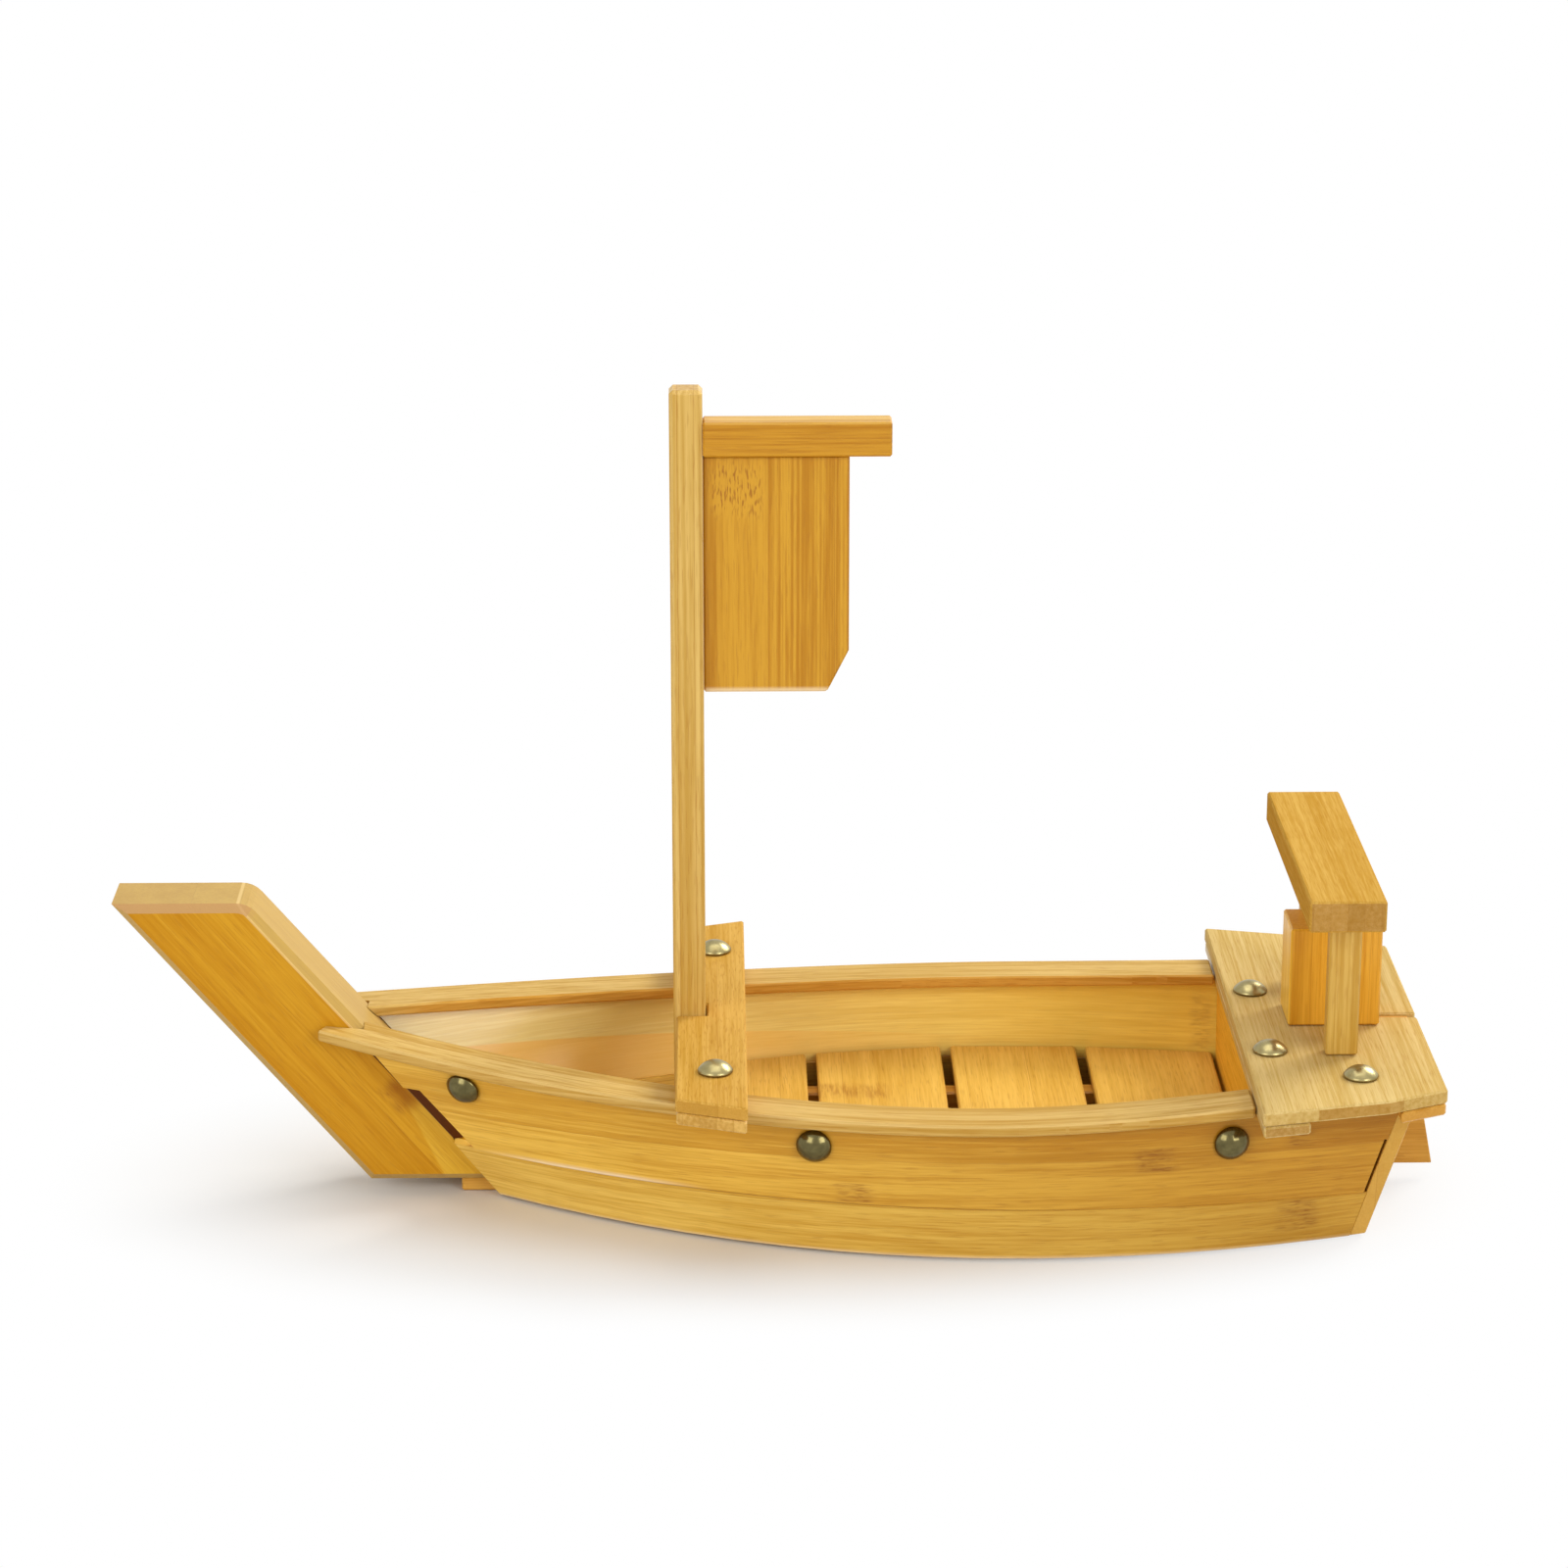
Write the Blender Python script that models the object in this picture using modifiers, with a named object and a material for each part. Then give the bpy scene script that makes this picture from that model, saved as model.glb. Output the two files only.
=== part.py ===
"""Bamboo serving boat with a plank hull, slatted floor, lift-out rig and slide-out rudder.

Metres, +Z up, bow towards -X, port side towards -Y, standing on the plane Z = 0.
"""

import math

import bmesh
import bpy
from mathutils import Matrix, Vector

# Stock and fits
FIT = 0.0003
SLIP = 0.00035
PLANK = 0.005
BOARD = 0.0045
DOUBLER = 0.0039
EDGE = 0.0006
SEAM_EDGE = 0.0002

# Stem post
STEM_TIP_X = -0.2100
STEM_TOP_Z = 0.0988
STEM_TOP_LENGTH = 0.0426
STEM_FOOT_LENGTH = 0.0430
STEM_RUN = 0.0787
STEM_THICK = 0.0248
STEM_CHAMFER = 0.0024
STEM_CORNER = 0.004

# Bottom board
BOTTOM_THICK = 0.005
BOTTOM_TIP = 0.0123
BOTTOM_HALF_MAX = 0.0668
BOTTOM_MAX_X = 0.075
BOTTOM_HALF_BOW = 0.0135
BOTTOM_HALF_STERN = 0.049
BOTTOM_STERN_X = 0.182

# Hull planks
STRAKE_FOOT_Z = 0.001
KNUCKLE_BOW_Z = 0.0198
KNUCKLE_STERN_Z = 0.0160
PROUD = 0.0015
PROUD_FADE = 0.5
STEM_LAP_FOOT = 0.0056
STEM_LAP_HEAD = -0.0010
RELIEF_TOP_Z = 0.0402
RELIEF_GAP = 0.0035
STATIONS = 18

# Gunwale rails
RAIL_WIDTH = 0.0155
RAIL_THICK = 0.0036
RAIL_OVERHANG = 0.004
RAIL_BOW_X = -0.1465
RAIL_HALF_BOW = 0.0165
RAIL_HALF_MAX = 0.0730
RAIL_MAX_X = 0.067
RAIL_HALF_STERN = 0.0555
RAIL_BOW_POWER = 1.83
RAIL_STERN_POWER = 1.7
SHEER_LOW_X = 0.055
SHEER_LOW_Z = 0.0475
SHEER_RISE_BOW = 0.0110
SHEER_RISE_STERN = 0.0030
RAIL_STATIONS = 20

# Transom
TRANSOM_RAKE = math.radians(17.5)
TRANSOM_THICK = 0.0050
NOTCH_TOP_Z = 0.0324
NOTCH_DEPTH = 0.0018

# Stern deck, bulkhead and battens
DECK_FRONT_X = 0.1443
DECK_LENGTH = 0.0587
DECK_SHOULDER = 0.0397
DECK_HALF_FRONT = 0.083
DECK_HALF_SHOULDER = 0.0735
DECK_HALF_AFT = 0.0645
BATTEN_WIDTH = 0.0150
BULKHEAD_THICK = 0.0045
BULKHEAD_SETBACK = 0.0014

# Serving floor
SLAT_COUNT = 4
SLAT_WIDTH = 0.0416
SLAT_GAP = 0.0035
SLAT_THICK = 0.0039
SLAT_END_GAP = 0.0014
SLAT_SIDE_GAP = 0.0005
BEARER_Y = 0.0335
BEARER_WIDTH = 0.007
BEARER_HEIGHT = 0.0121

# Thwart
THWART_FRONT_X = -0.0334
THWART_WIDTH = 0.022
THWART_HALF_FRONT = 0.076
THWART_HALF_AFT = 0.084

# Rig
MAST_SIZE = 0.0102
MAST_PROUD = 0.0009
MAST_LENGTH = 0.2515
MAST_CHAMFER = 0.0012
STEP_SIZE = 0.021
STEP_HEIGHT = 0.012
STEP_FLOOR = 0.004
YARD_LENGTH = 0.0579
YARD_HEIGHT = 0.0108
YARD_DEPTH = 0.010
YARD_DROP = 0.0100
SAIL_WIDTH = 0.0450
SAIL_HEIGHT = 0.0753
SAIL_THICK = 0.004
SAIL_CUT_X = 0.0067
SAIL_CUT_Z = 0.0133

# Rudder
HEAD_LENGTH = 0.029
HEAD_WIDTH = 0.020
HEAD_HEIGHT = 0.0324
HEAD_FRONT = 0.0164
RUDDER_THICK = 0.0028
TANG_SETBACK = 0.005
TANG_HEIGHT = 0.019
NECK_Z = 0.036
BLADE_GAP = 0.002
BLADE_TOP_LENGTH = 0.011
BLADE_FOOT_X = 0.210
BLADE_FOOT_Z = 0.0046
BLADE_RECESS = 0.0008

# Gate
GATE_LENGTH = 0.109
GATE_WIDTH = 0.0236
GATE_THICK = 0.010
GATE_FRONT = 0.0157
LEG_WIDTH = 0.010
LEG_DEPTH = 0.006
LEG_HEIGHT = 0.0470
LEG_OUTER_Y = 0.036
LEG_SETBACK = 0.0092

# Tacks
TACK_RADIUS = 0.0055
TACK_HEIGHT = 0.0035
TACK_SHANK_RADIUS = 0.0009
SIDE_SHANK = 0.0042
DECK_SHANK = 0.0070
TACK_POINT = 0.0015
SIDE_TACKS = (
    ("bow", -0.1000, 0.0058),
    ("middle", 0.0090, 0.0066),
    ("stern", 0.1373, 0.0088),
)
THWART_TACK_SETBACK = 0.0122
DECK_TACK_FRONT = 0.0081
DECK_TACK_AFT = 0.0335
DECK_TACKS = (
    ("deck_tack_front_port", DECK_TACK_FRONT, -0.0313),
    ("deck_tack_front_starboard", DECK_TACK_FRONT, 0.0219),
    ("deck_tack_aft_port", DECK_TACK_AFT, -0.0533),
    ("deck_tack_aft_starboard", DECK_TACK_AFT, 0.0533),
)
TACK_SEGMENTS = 16
DOME_STEPS = 4

# Colours, as linear RGB
HONEY = (0.72, 0.43, 0.13)
AMBER = (0.60, 0.30, 0.06)
PALE = (0.78, 0.52, 0.22)
BRONZE = (0.33, 0.29, 0.17)
WOOD_ROUGHNESS = 0.35
BRONZE_ROUGHNESS = 0.28

PORT = -1
STARBOARD = 1
SIDES = (("port", PORT), ("starboard", STARBOARD))

FLAT = Matrix.Identity(4)
UPRIGHT = Matrix(((1, 0, 0, 0), (0, 0, -1, 0), (0, 1, 0, 0), (0, 0, 0, 1)))
ACROSS = Matrix(((0, 0, 1, 0), (1, 0, 0, 0), (0, 1, 0, 0), (0, 0, 0, 1)))


def clear_scene():
    """Remove every object, and make the collections of the parts and of their cutters."""
    for item in list(bpy.data.objects):
        bpy.data.objects.remove(item, do_unlink=True)
    made = []
    for name in ("sushi_boat", "sushi_boat_cutters"):
        collection = bpy.data.collections.new(name)
        bpy.context.scene.collection.children.link(collection)
        made.append(collection)
    return made


PARTS, CUTTERS = clear_scene()


def finish(name, colour, roughness=WOOD_ROUGHNESS, metallic=0.0):
    """A Principled material of one colour for one part."""
    material = bpy.data.materials.new(name + "_finish")
    material.use_nodes = True
    shader = material.node_tree.nodes["Principled BSDF"]
    shader.inputs["Base Color"].default_value = (*colour, 1.0)
    shader.inputs["Roughness"].default_value = roughness
    shader.inputs["Metallic"].default_value = metallic
    return material


def bevelled(part, width, limit="ANGLE"):
    """Chamfer the sharp or the weighted edges of a part."""
    modifier = part.modifiers.new("edges", "BEVEL")
    modifier.width = width
    modifier.segments = 1
    modifier.limit_method = limit
    modifier.angle_limit = math.radians(30)
    return part


def cut(part, *cutters):
    """Cut the cutters out of a part."""
    for cutter in cutters:
        modifier = part.modifiers.new(cutter.name, "BOOLEAN")
        modifier.operation = "DIFFERENCE"
        modifier.solver = "EXACT"
        modifier.object = cutter
    return part


def placed(name, mesh, frame, colour=None, parent=None):
    """Link a mesh as a part with its own finish or, with no colour, as a cutter."""
    item = bpy.data.objects.new(name, mesh)
    if colour is None:
        CUTTERS.objects.link(item)
        item.hide_render = True
        item.display_type = "WIRE"
    else:
        PARTS.objects.link(item)
        mesh.materials.append(finish(name, colour))
    if parent is None:
        item.matrix_world = frame
    else:
        item.parent = parent
        item.matrix_local = Matrix.Translation(-parent.location) @ frame
    return item


def board(name, outline, thickness, frame, colour=None, edge=EDGE, parent=None, rim=False):
    """A flat board: a filled 2D outline, extruded evenly, chamfered all over or at its rims."""
    curve = bpy.data.curves.new(name + "_outline", "CURVE")
    curve.dimensions = "2D"
    curve.fill_mode = "BOTH"
    curve.extrude = thickness / 2
    spline = curve.splines.new("POLY")
    spline.points.add(len(outline) - 1)
    for point, (along, across) in zip(spline.points, outline):
        point.co = (along, across, 0.0, 1.0)
    spline.use_cyclic_u = True
    guide = bpy.data.objects.new(name + "_outline", curve)
    PARTS.objects.link(guide)
    bpy.context.view_layer.update()
    graph = bpy.context.evaluated_depsgraph_get()
    mesh = bpy.data.meshes.new_from_object(guide.evaluated_get(graph))
    bpy.data.objects.remove(guide, do_unlink=True)
    mesh.name = name
    shape = bmesh.new()
    shape.from_mesh(mesh)
    bmesh.ops.remove_doubles(shape, verts=shape.verts, dist=1e-6)
    bmesh.ops.dissolve_limit(
        shape, angle_limit=math.radians(0.5), verts=shape.verts, edges=shape.edges
    )
    bmesh.ops.recalc_face_normals(shape, faces=shape.faces)
    weight = shape.edges.layers.float.new("bevel_weight_edge")
    for line in shape.edges:
        line[weight] = float(line.verts[0].co.z * line.verts[1].co.z > 0)
    shape.to_mesh(mesh)
    shape.free()
    part = placed(name, mesh, frame, colour, parent)
    if edge and colour:
        bevelled(part, edge, "WEIGHT" if rim else "ANGLE")
    return part


def block(name, low, high, colour=None, edge=EDGE, parent=None):
    """A rectangular bar between two corners, with its origin at its middle."""
    low, high = Vector(low), Vector(high)
    shape = bmesh.new()
    bmesh.ops.create_cube(shape, size=1.0)
    bmesh.ops.scale(shape, vec=high - low, verts=shape.verts)
    mesh = bpy.data.meshes.new(name)
    shape.to_mesh(mesh)
    shape.free()
    part = placed(name, mesh, Matrix.Translation((low + high) / 2), colour, parent)
    return bevelled(part, edge) if edge and colour else part


def loft(name, sections, colour=None, edge=EDGE):
    """A bent bar: four-cornered sections joined in order and capped at both ends."""
    shape = bmesh.new()
    rings = [[shape.verts.new(corner) for corner in section] for section in sections]
    for first, second in zip(rings, rings[1:]):
        for i in range(4):
            j = (i + 1) % 4
            shape.faces.new((first[i], first[j], second[j], second[i]))
    shape.faces.new(rings[0])
    shape.faces.new(rings[-1])
    bmesh.ops.recalc_face_normals(shape, faces=shape.faces)
    mesh = bpy.data.meshes.new(name)
    shape.to_mesh(mesh)
    shape.free()
    part = placed(name, mesh, FLAT, colour)
    return bevelled(part, edge) if colour else part


def at_height(z):
    """The frame of a level board whose middle plane lies at height z."""
    return Matrix.Translation((0, 0, z))


def between(a, b, t):
    """The value a share t of the way from a to b."""
    return a + (b - a) * t


# Shape of the hull


def stem_front_x(z):
    """The stem's front face at a height."""
    drop = (STEM_TOP_Z - z) / (STEM_TOP_Z - STEM_FOOT_Z)
    return STEM_TIP_X + STEM_RUN * drop


def stem_aft_x(z):
    """The stem's aft face at a height."""
    drop = (STEM_TOP_Z - z) / (STEM_TOP_Z - STEM_FOOT_Z)
    return stem_front_x(z) + between(STEM_TOP_LENGTH, STEM_FOOT_LENGTH, drop)


def transom_x(z):
    """The transom's aft face at a height."""
    return BOTTOM_STERN_X + (z - STRAKE_FOOT_Z) * math.tan(TRANSOM_RAKE)


def transom_front_x(z):
    """The transom's front face at a height."""
    return transom_x(z) - TRANSOM_THICK / math.cos(TRANSOM_RAKE)


def plank_front_x(z):
    """The planks' front edge at a height, lapping the stem a little."""
    head_z = rail_top(RAIL_BOW_X) - RAIL_THICK
    share = (z - STRAKE_FOOT_Z) / (head_z - STRAKE_FOOT_Z)
    return stem_aft_x(z) - between(STEM_LAP_FOOT, STEM_LAP_HEAD, share)


def rail_top(x):
    """Height of the rails' upper face: lowest amidships, rising to bow and deck."""
    x = min(x, DECK_FRONT_X)
    end_x, rise = (RAIL_BOW_X, SHEER_RISE_BOW)
    if x > SHEER_LOW_X:
        end_x, rise = (DECK_FRONT_X, SHEER_RISE_STERN)
    share = (x - SHEER_LOW_X) / (end_x - SHEER_LOW_X)
    return SHEER_LOW_Z + rise * share * share


def rail_half(x):
    """Half breadth over the rails' outer edges, on under the deck to the stern."""
    if x < RAIL_MAX_X:
        share = (RAIL_MAX_X - x) / (RAIL_MAX_X - RAIL_BOW_X)
        return between(RAIL_HALF_MAX, RAIL_HALF_BOW, share**RAIL_BOW_POWER)
    share = (x - RAIL_MAX_X) / (STERN_X - RAIL_MAX_X)
    return between(RAIL_HALF_MAX, RAIL_HALF_STERN, share**RAIL_STERN_POWER)


def rail_slope(x):
    """Slope of the rails' outer edge in plan."""
    step = 0.001
    return (rail_half(x + step) - rail_half(x - step)) / (2 * step)


def bottom_half(x):
    """Half breadth over the planks' lower edges."""
    if x < BOTTOM_MAX_X:
        share = (BOTTOM_MAX_X - x) / (BOTTOM_MAX_X - BOTTOM_BOW_X)
        return between(BOTTOM_HALF_MAX, BOTTOM_HALF_BOW, share * share)
    share = (x - BOTTOM_MAX_X) / (BOTTOM_STERN_X - BOTTOM_MAX_X)
    return between(BOTTOM_HALF_MAX, BOTTOM_HALF_STERN, share * share)


def plank_top(x):
    """Height of the planks' upper edge, under the rail."""
    return rail_top(x) - RAIL_THICK - FIT


def skin(u, z):
    """A point of the planks' outer face: share u of the length, bow to stern, at height z."""
    foot_x = between(BOTTOM_BOW_X, BOTTOM_STERN_X, u)
    head_x = between(SHEER_BOW_X, STERN_X, u)
    share = (z - STRAKE_FOOT_Z) / (plank_top(head_x) - STRAKE_FOOT_Z)
    half = between(bottom_half(foot_x), rail_half(head_x) - RAIL_OVERHANG, share)
    return Vector((between(foot_x, head_x, share), half, z))


def station(x, z):
    """The share u at which the planks' outer face passes x at height z."""
    low, high = 0.0, 1.0
    for _ in range(40):
        middle = (low + high) / 2
        if skin(middle, z).x < x:
            low = middle
        else:
            high = middle
    return (low + high) / 2


def knuckle(u):
    """Height of the seam between the planks: share u of the length, bow to stern."""
    return between(KNUCKLE_BOW_Z, KNUCKLE_STERN_Z, u)


def hold_half(x, z):
    """Half breadth between the planks' inner faces."""
    return skin(station(x, z), z).y - PLANK


# Heights and places that follow from the sizes above
STEM_FOOT_Z = BOTTOM_THICK + FIT
STERN_X = transom_x(plank_top(DECK_FRONT_X))
BOTTOM_BOW_X = plank_front_x(STRAKE_FOOT_Z)
SHEER_BOW_X = plank_front_x(rail_top(RAIL_BOW_X) - RAIL_THICK)
DECK_AFT_X = DECK_FRONT_X + DECK_LENGTH
DECK_SEAT_Z = plank_top(DECK_FRONT_X) + FIT
DECK_UNDER_Z = rail_top(DECK_FRONT_X) + FIT
DECK_TOP_Z = DECK_UNDER_Z + BOARD
THWART_AFT_X = THWART_FRONT_X + THWART_WIDTH
THWART_SEAT_Z = max(rail_top(THWART_FRONT_X), rail_top(THWART_AFT_X)) + FIT
THWART_UNDER_Z = THWART_SEAT_Z + DOUBLER + FIT
THWART_TOP_Z = THWART_UNDER_Z + BOARD
HOLD_FLOOR_Z = BOTTOM_THICK + FIT
BULKHEAD_X = DECK_FRONT_X + BULKHEAD_SETBACK
BEARER_TOP_Z = HOLD_FLOOR_Z + BEARER_HEIGHT
SLAT_UNDER_Z = BEARER_TOP_Z + FIT
FLOOR_AFT_X = BULKHEAD_X - SLAT_END_GAP
MAST_X = THWART_FRONT_X - MAST_PROUD + MAST_SIZE / 2
MAST_AFT_X = MAST_X + MAST_SIZE / 2
MAST_FOOT_Z = HOLD_FLOOR_Z + STEP_FLOOR + FIT
MAST_TOP_Z = MAST_FOOT_Z + MAST_LENGTH
FLOOR_FRONT_X = MAST_X + STEP_SIZE / 2 + FIT
TANG_X = DECK_FRONT_X + HEAD_FRONT + TANG_SETBACK
TANG_FOOT_Z = DECK_UNDER_Z + FIT
SLIT_HALF = RUDDER_THICK / 2 + SLIP


def build_stem():
    """The raked bow post, chamfered all round, with a rounded upper aft corner."""
    rise = Vector((stem_aft_x(STEM_FOOT_Z), STEM_FOOT_Z))
    corner = Vector((stem_aft_x(STEM_TOP_Z), STEM_TOP_Z))
    before = corner + (rise - corner).normalized() * STEM_CORNER
    after = corner + Vector((-STEM_CORNER, 0.0))
    outline = [
        (stem_front_x(STEM_FOOT_Z), STEM_FOOT_Z),
        tuple(rise),
    ]
    steps = 4
    for i in range(steps + 1):
        t = i / steps
        bend = before * (1 - t) ** 2 + corner * 2 * t * (1 - t) + after * t * t
        outline.append(tuple(bend))
    outline.append((STEM_TIP_X, STEM_TOP_Z))
    stem = board("stem_post", outline, STEM_THICK, UPRIGHT, AMBER, STEM_CHAMFER, rim=True)
    for label, side in SIDES:
        cut(stem, rabbet("stem_rabbet_" + label, side))


def rabbet(name, side):
    """Cutter for the room that one side's plank ends take up on the stem."""
    sections = []
    head_z = plank_top(SHEER_BOW_X)
    for z, proud in (
        (0.0, 0.0),
        (KNUCKLE_BOW_Z - FIT / 2, 0.0),
        (KNUCKLE_BOW_Z + FIT / 2, PROUD),
        (head_z + FIT, 0.0),
    ):
        front = skin(0.0, z)
        front_x, aft_x = front.x - FIT, stem_aft_x(z) + PLANK
        inner = side * (front.y + proud - PLANK - FIT)
        outer = side * (RAIL_HALF_MAX + STEM_THICK)
        sections.append(
            ((front_x, inner, z), (aft_x, inner, z), (aft_x, outer, z), (front_x, outer, z))
        )
    return loft(name, sections)


def build_bottom():
    """The flat keel board between the planks, from a blunt tip under the stem to the transom."""
    half = []
    end_x = transom_front_x(0.0) - FIT
    share = (end_x - BOTTOM_BOW_X) / (BOTTOM_STERN_X - BOTTOM_BOW_X)
    for i in range(STATIONS + 1):
        foot = skin(share * i / STATIONS, STRAKE_FOOT_Z)
        half.append((foot.x, foot.y - PLANK - FIT))
    half.insert(0, (half[0][0] - BOTTOM_TIP, half[0][1]))
    outline = half + [(x, -y) for x, y in reversed(half)]
    board("bottom_board", outline, BOTTOM_THICK, at_height(BOTTOM_THICK / 2), HONEY)


def build_strakes(bores):
    """Two planks on each side, the upper one standing a little proud at the bow."""
    relief = board(
        "strake_relief",
        [
            (plank_front_x(RELIEF_TOP_Z) - PLANK, RELIEF_TOP_Z),
            (plank_front_x(0.0) - PLANK, 0.0),
            (stem_aft_x(0.0) + RELIEF_GAP, 0.0),
            (stem_aft_x(RELIEF_TOP_Z) + RELIEF_GAP, RELIEF_TOP_Z),
        ],
        4 * RAIL_HALF_BOW,
        UPRIGHT,
    )
    deep = TRANSOM_THICK + FIT
    ends = transom_cutter("plank_ends", -PLANK, 2 * SHEER_LOW_Z, deep)
    notch = transom_cutter("stern_notch", -PLANK, NOTCH_TOP_Z, deep + NOTCH_DEPTH)
    for label, side in SIDES:
        lower, upper = [], []
        for i in range(STATIONS + 1):
            u = i / STATIONS
            head_x = between(SHEER_BOW_X, STERN_X, u)
            proud = PROUD * max(0.0, 1 - u / PROUD_FADE)
            seam = knuckle(u)
            lower.append(plank_section(u, STRAKE_FOOT_Z, seam - FIT / 2, 0.0, side))
            upper.append(plank_section(u, seam + FIT / 2, plank_top(head_x), proud, side))
        cut(loft("lower_strake_" + label, lower, HONEY, SEAM_EDGE), ends)
        upper_strake = loft("upper_strake_" + label, upper, HONEY, SEAM_EDGE)
        cut(upper_strake, relief, ends, notch, bores)


def plank_section(u, low, high, proud, side):
    """The four corners of a plank's section, its lower edge standing proud by some amount."""
    foot, head = skin(u, low), skin(u, high)
    outer = ((foot.x, foot.y + proud, low), (head.x, head.y, high))
    inner = ((head.x, head.y - PLANK, high), (foot.x, foot.y + proud - PLANK, low))
    return [(x, side * y, z) for x, y, z in outer + inner]


def build_rails():
    """The flat rails, notched round the stem."""
    grown = STEM_THICK + 2 * FIT
    high = rail_top(RAIL_BOW_X) + RAIL_THICK
    low = rail_top(RAIL_BOW_X) - 4 * RAIL_THICK
    notch = board(
        "stem_notch",
        [
            (stem_aft_x(low) + FIT, low),
            (stem_aft_x(high) + FIT, high),
            (RAIL_BOW_X - RAIL_WIDTH, high),
            (RAIL_BOW_X - RAIL_WIDTH, low),
        ],
        grown,
        UPRIGHT,
    )
    for label, side in SIDES:
        end_x = DECK_FRONT_X - FIT
        places = [between(RAIL_BOW_X, end_x, i / RAIL_STATIONS) for i in range(RAIL_STATIONS)]
        sections = [rail_section(x, side) for x in places]
        sections.append(rail_section(end_x, side, square=True))
        cut(loft("gunwale_rail_" + label, sections, PALE), notch)


def rail_section(x, side, square=False):
    """The four corners of a rail's section, across the rail or square to the boat."""
    slope = rail_slope(x)
    length = math.hypot(1.0, slope)
    inner_x, inner_y = x + RAIL_WIDTH * slope / length, rail_half(x) - RAIL_WIDTH / length
    if square:
        inner_x, inner_y = x, rail_half(x) - RAIL_WIDTH * length
    top, under = rail_top(x), rail_top(x) - RAIL_THICK
    outer = ((x, rail_half(x), under), (x, rail_half(x), top))
    inner = ((inner_x, inner_y, top), (inner_x, inner_y, under))
    return [(x, side * y, z) for x, y, z in outer + inner]


TRANSOM_FRAME = Matrix(
    (
        (0, math.sin(TRANSOM_RAKE), math.cos(TRANSOM_RAKE), BOTTOM_STERN_X),
        (1, 0, 0, 0),
        (0, math.cos(TRANSOM_RAKE), -math.sin(TRANSOM_RAKE), STRAKE_FOOT_Z),
        (0, 0, 0, 1),
    )
)


def transom_cutter(name, low_z, high_z, deep):
    """Cutter for the planks' ends, to some depth before the transom's aft face."""
    low, high = ((z - STRAKE_FOOT_Z) / math.cos(TRANSOM_RAKE) for z in (low_z, high_z))
    outline = [
        (-RAIL_HALF_MAX, low),
        (RAIL_HALF_MAX, low),
        (RAIL_HALF_MAX, high),
        (-RAIL_HALF_MAX, high),
    ]
    return board(name, outline, 2 * deep, TRANSOM_FRAME)


def build_transom():
    """The raked stern board over the planks' ends, with a slot for the rudder's neck."""
    top_z = plank_top(STERN_X)
    sections = []
    for face in (transom_front_x, transom_x):
        corners = []
        for z in (STRAKE_FOOT_Z, top_z):
            half = skin(station(face(z), z), z).y
            corners += [(face(z), side * half, z) for side in (PORT, STARBOARD)]
        sections.append([corners[0], corners[1], corners[3], corners[2]])
    slot = block(
        "neck_slot",
        (transom_front_x(STRAKE_FOOT_Z), -SLIT_HALF, NECK_Z - SLIP),
        (DECK_AFT_X + BOARD, SLIT_HALF, DECK_TOP_Z),
    )
    cut(loft("transom", sections, HONEY, EDGE / 2), slot)


def build_bulkhead():
    """The upright board between the planks, under the deck's front batten."""
    faces = (BULKHEAD_X, BULKHEAD_X + BULKHEAD_THICK)
    half = []
    for z in (HOLD_FLOOR_Z, plank_top(BULKHEAD_X)):
        half.append((min(hold_half(x, z) for x in faces) - SLAT_SIDE_GAP, z))
    outline = half + [(-y, z) for y, z in reversed(half)]
    middle = BULKHEAD_X + BULKHEAD_THICK / 2
    frame = Matrix.Translation((middle, 0, 0)) @ ACROSS
    board("stern_bulkhead", outline, BULKHEAD_THICK, frame, AMBER, EDGE / 2)


def deck_half(x):
    """Half breadth of the deck board."""
    shoulder_x = DECK_FRONT_X + DECK_SHOULDER
    if x < shoulder_x:
        return between(DECK_HALF_FRONT, DECK_HALF_SHOULDER, (x - DECK_FRONT_X) / DECK_SHOULDER)
    share = (x - shoulder_x) / (DECK_AFT_X - shoulder_x)
    return between(DECK_HALF_SHOULDER, DECK_HALF_AFT, share)


def build_deck(bores):
    """The deck board with its slit for the rudder, and the battens under it."""
    half = [(x, deck_half(x)) for x in (DECK_FRONT_X, DECK_FRONT_X + DECK_SHOULDER, DECK_AFT_X)]
    slit_x = TANG_X - SLIP
    slit = [(DECK_AFT_X, SLIT_HALF), (slit_x, SLIT_HALF)]
    side = half + slit
    outline = side + [(x, -y) for x, y in reversed(side)]
    middle = at_height(DECK_UNDER_Z + BOARD / 2)
    cut(board("stern_deck", outline, BOARD, middle, PALE), bores)

    middle = at_height(DECK_SEAT_Z + RAIL_THICK / 2)
    back_x = DECK_FRONT_X + BATTEN_WIDTH
    half = [(x, deck_half(x) - FIT) for x in (DECK_FRONT_X + FIT, back_x)]
    outline = half + [(x, -y) for x, y in reversed(half)]
    cut(board("deck_batten_front", outline, RAIL_THICK, middle, HONEY), bores)
    front_x, back_x = DECK_AFT_X - BATTEN_WIDTH, DECK_AFT_X - FIT
    strip_x, strip_end_x = DECK_FRONT_X + BATTEN_WIDTH + FIT, front_x - FIT
    places = [between(strip_x, strip_end_x, i / 4) for i in range(5)]
    for label, side in SIDES:
        strip = [rail_section(x, side, square=True) for x in places]
        cut(loft("deck_side_strip_" + label, strip, HONEY), bores)
        outline = [
            (front_x, side * SLIT_HALF),
            (back_x, side * SLIT_HALF),
            (back_x, side * (deck_half(back_x) - FIT)),
            (front_x, side * (deck_half(front_x) - FIT)),
        ]
        board("deck_batten_aft_" + label, outline, RAIL_THICK, middle, HONEY)


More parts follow.
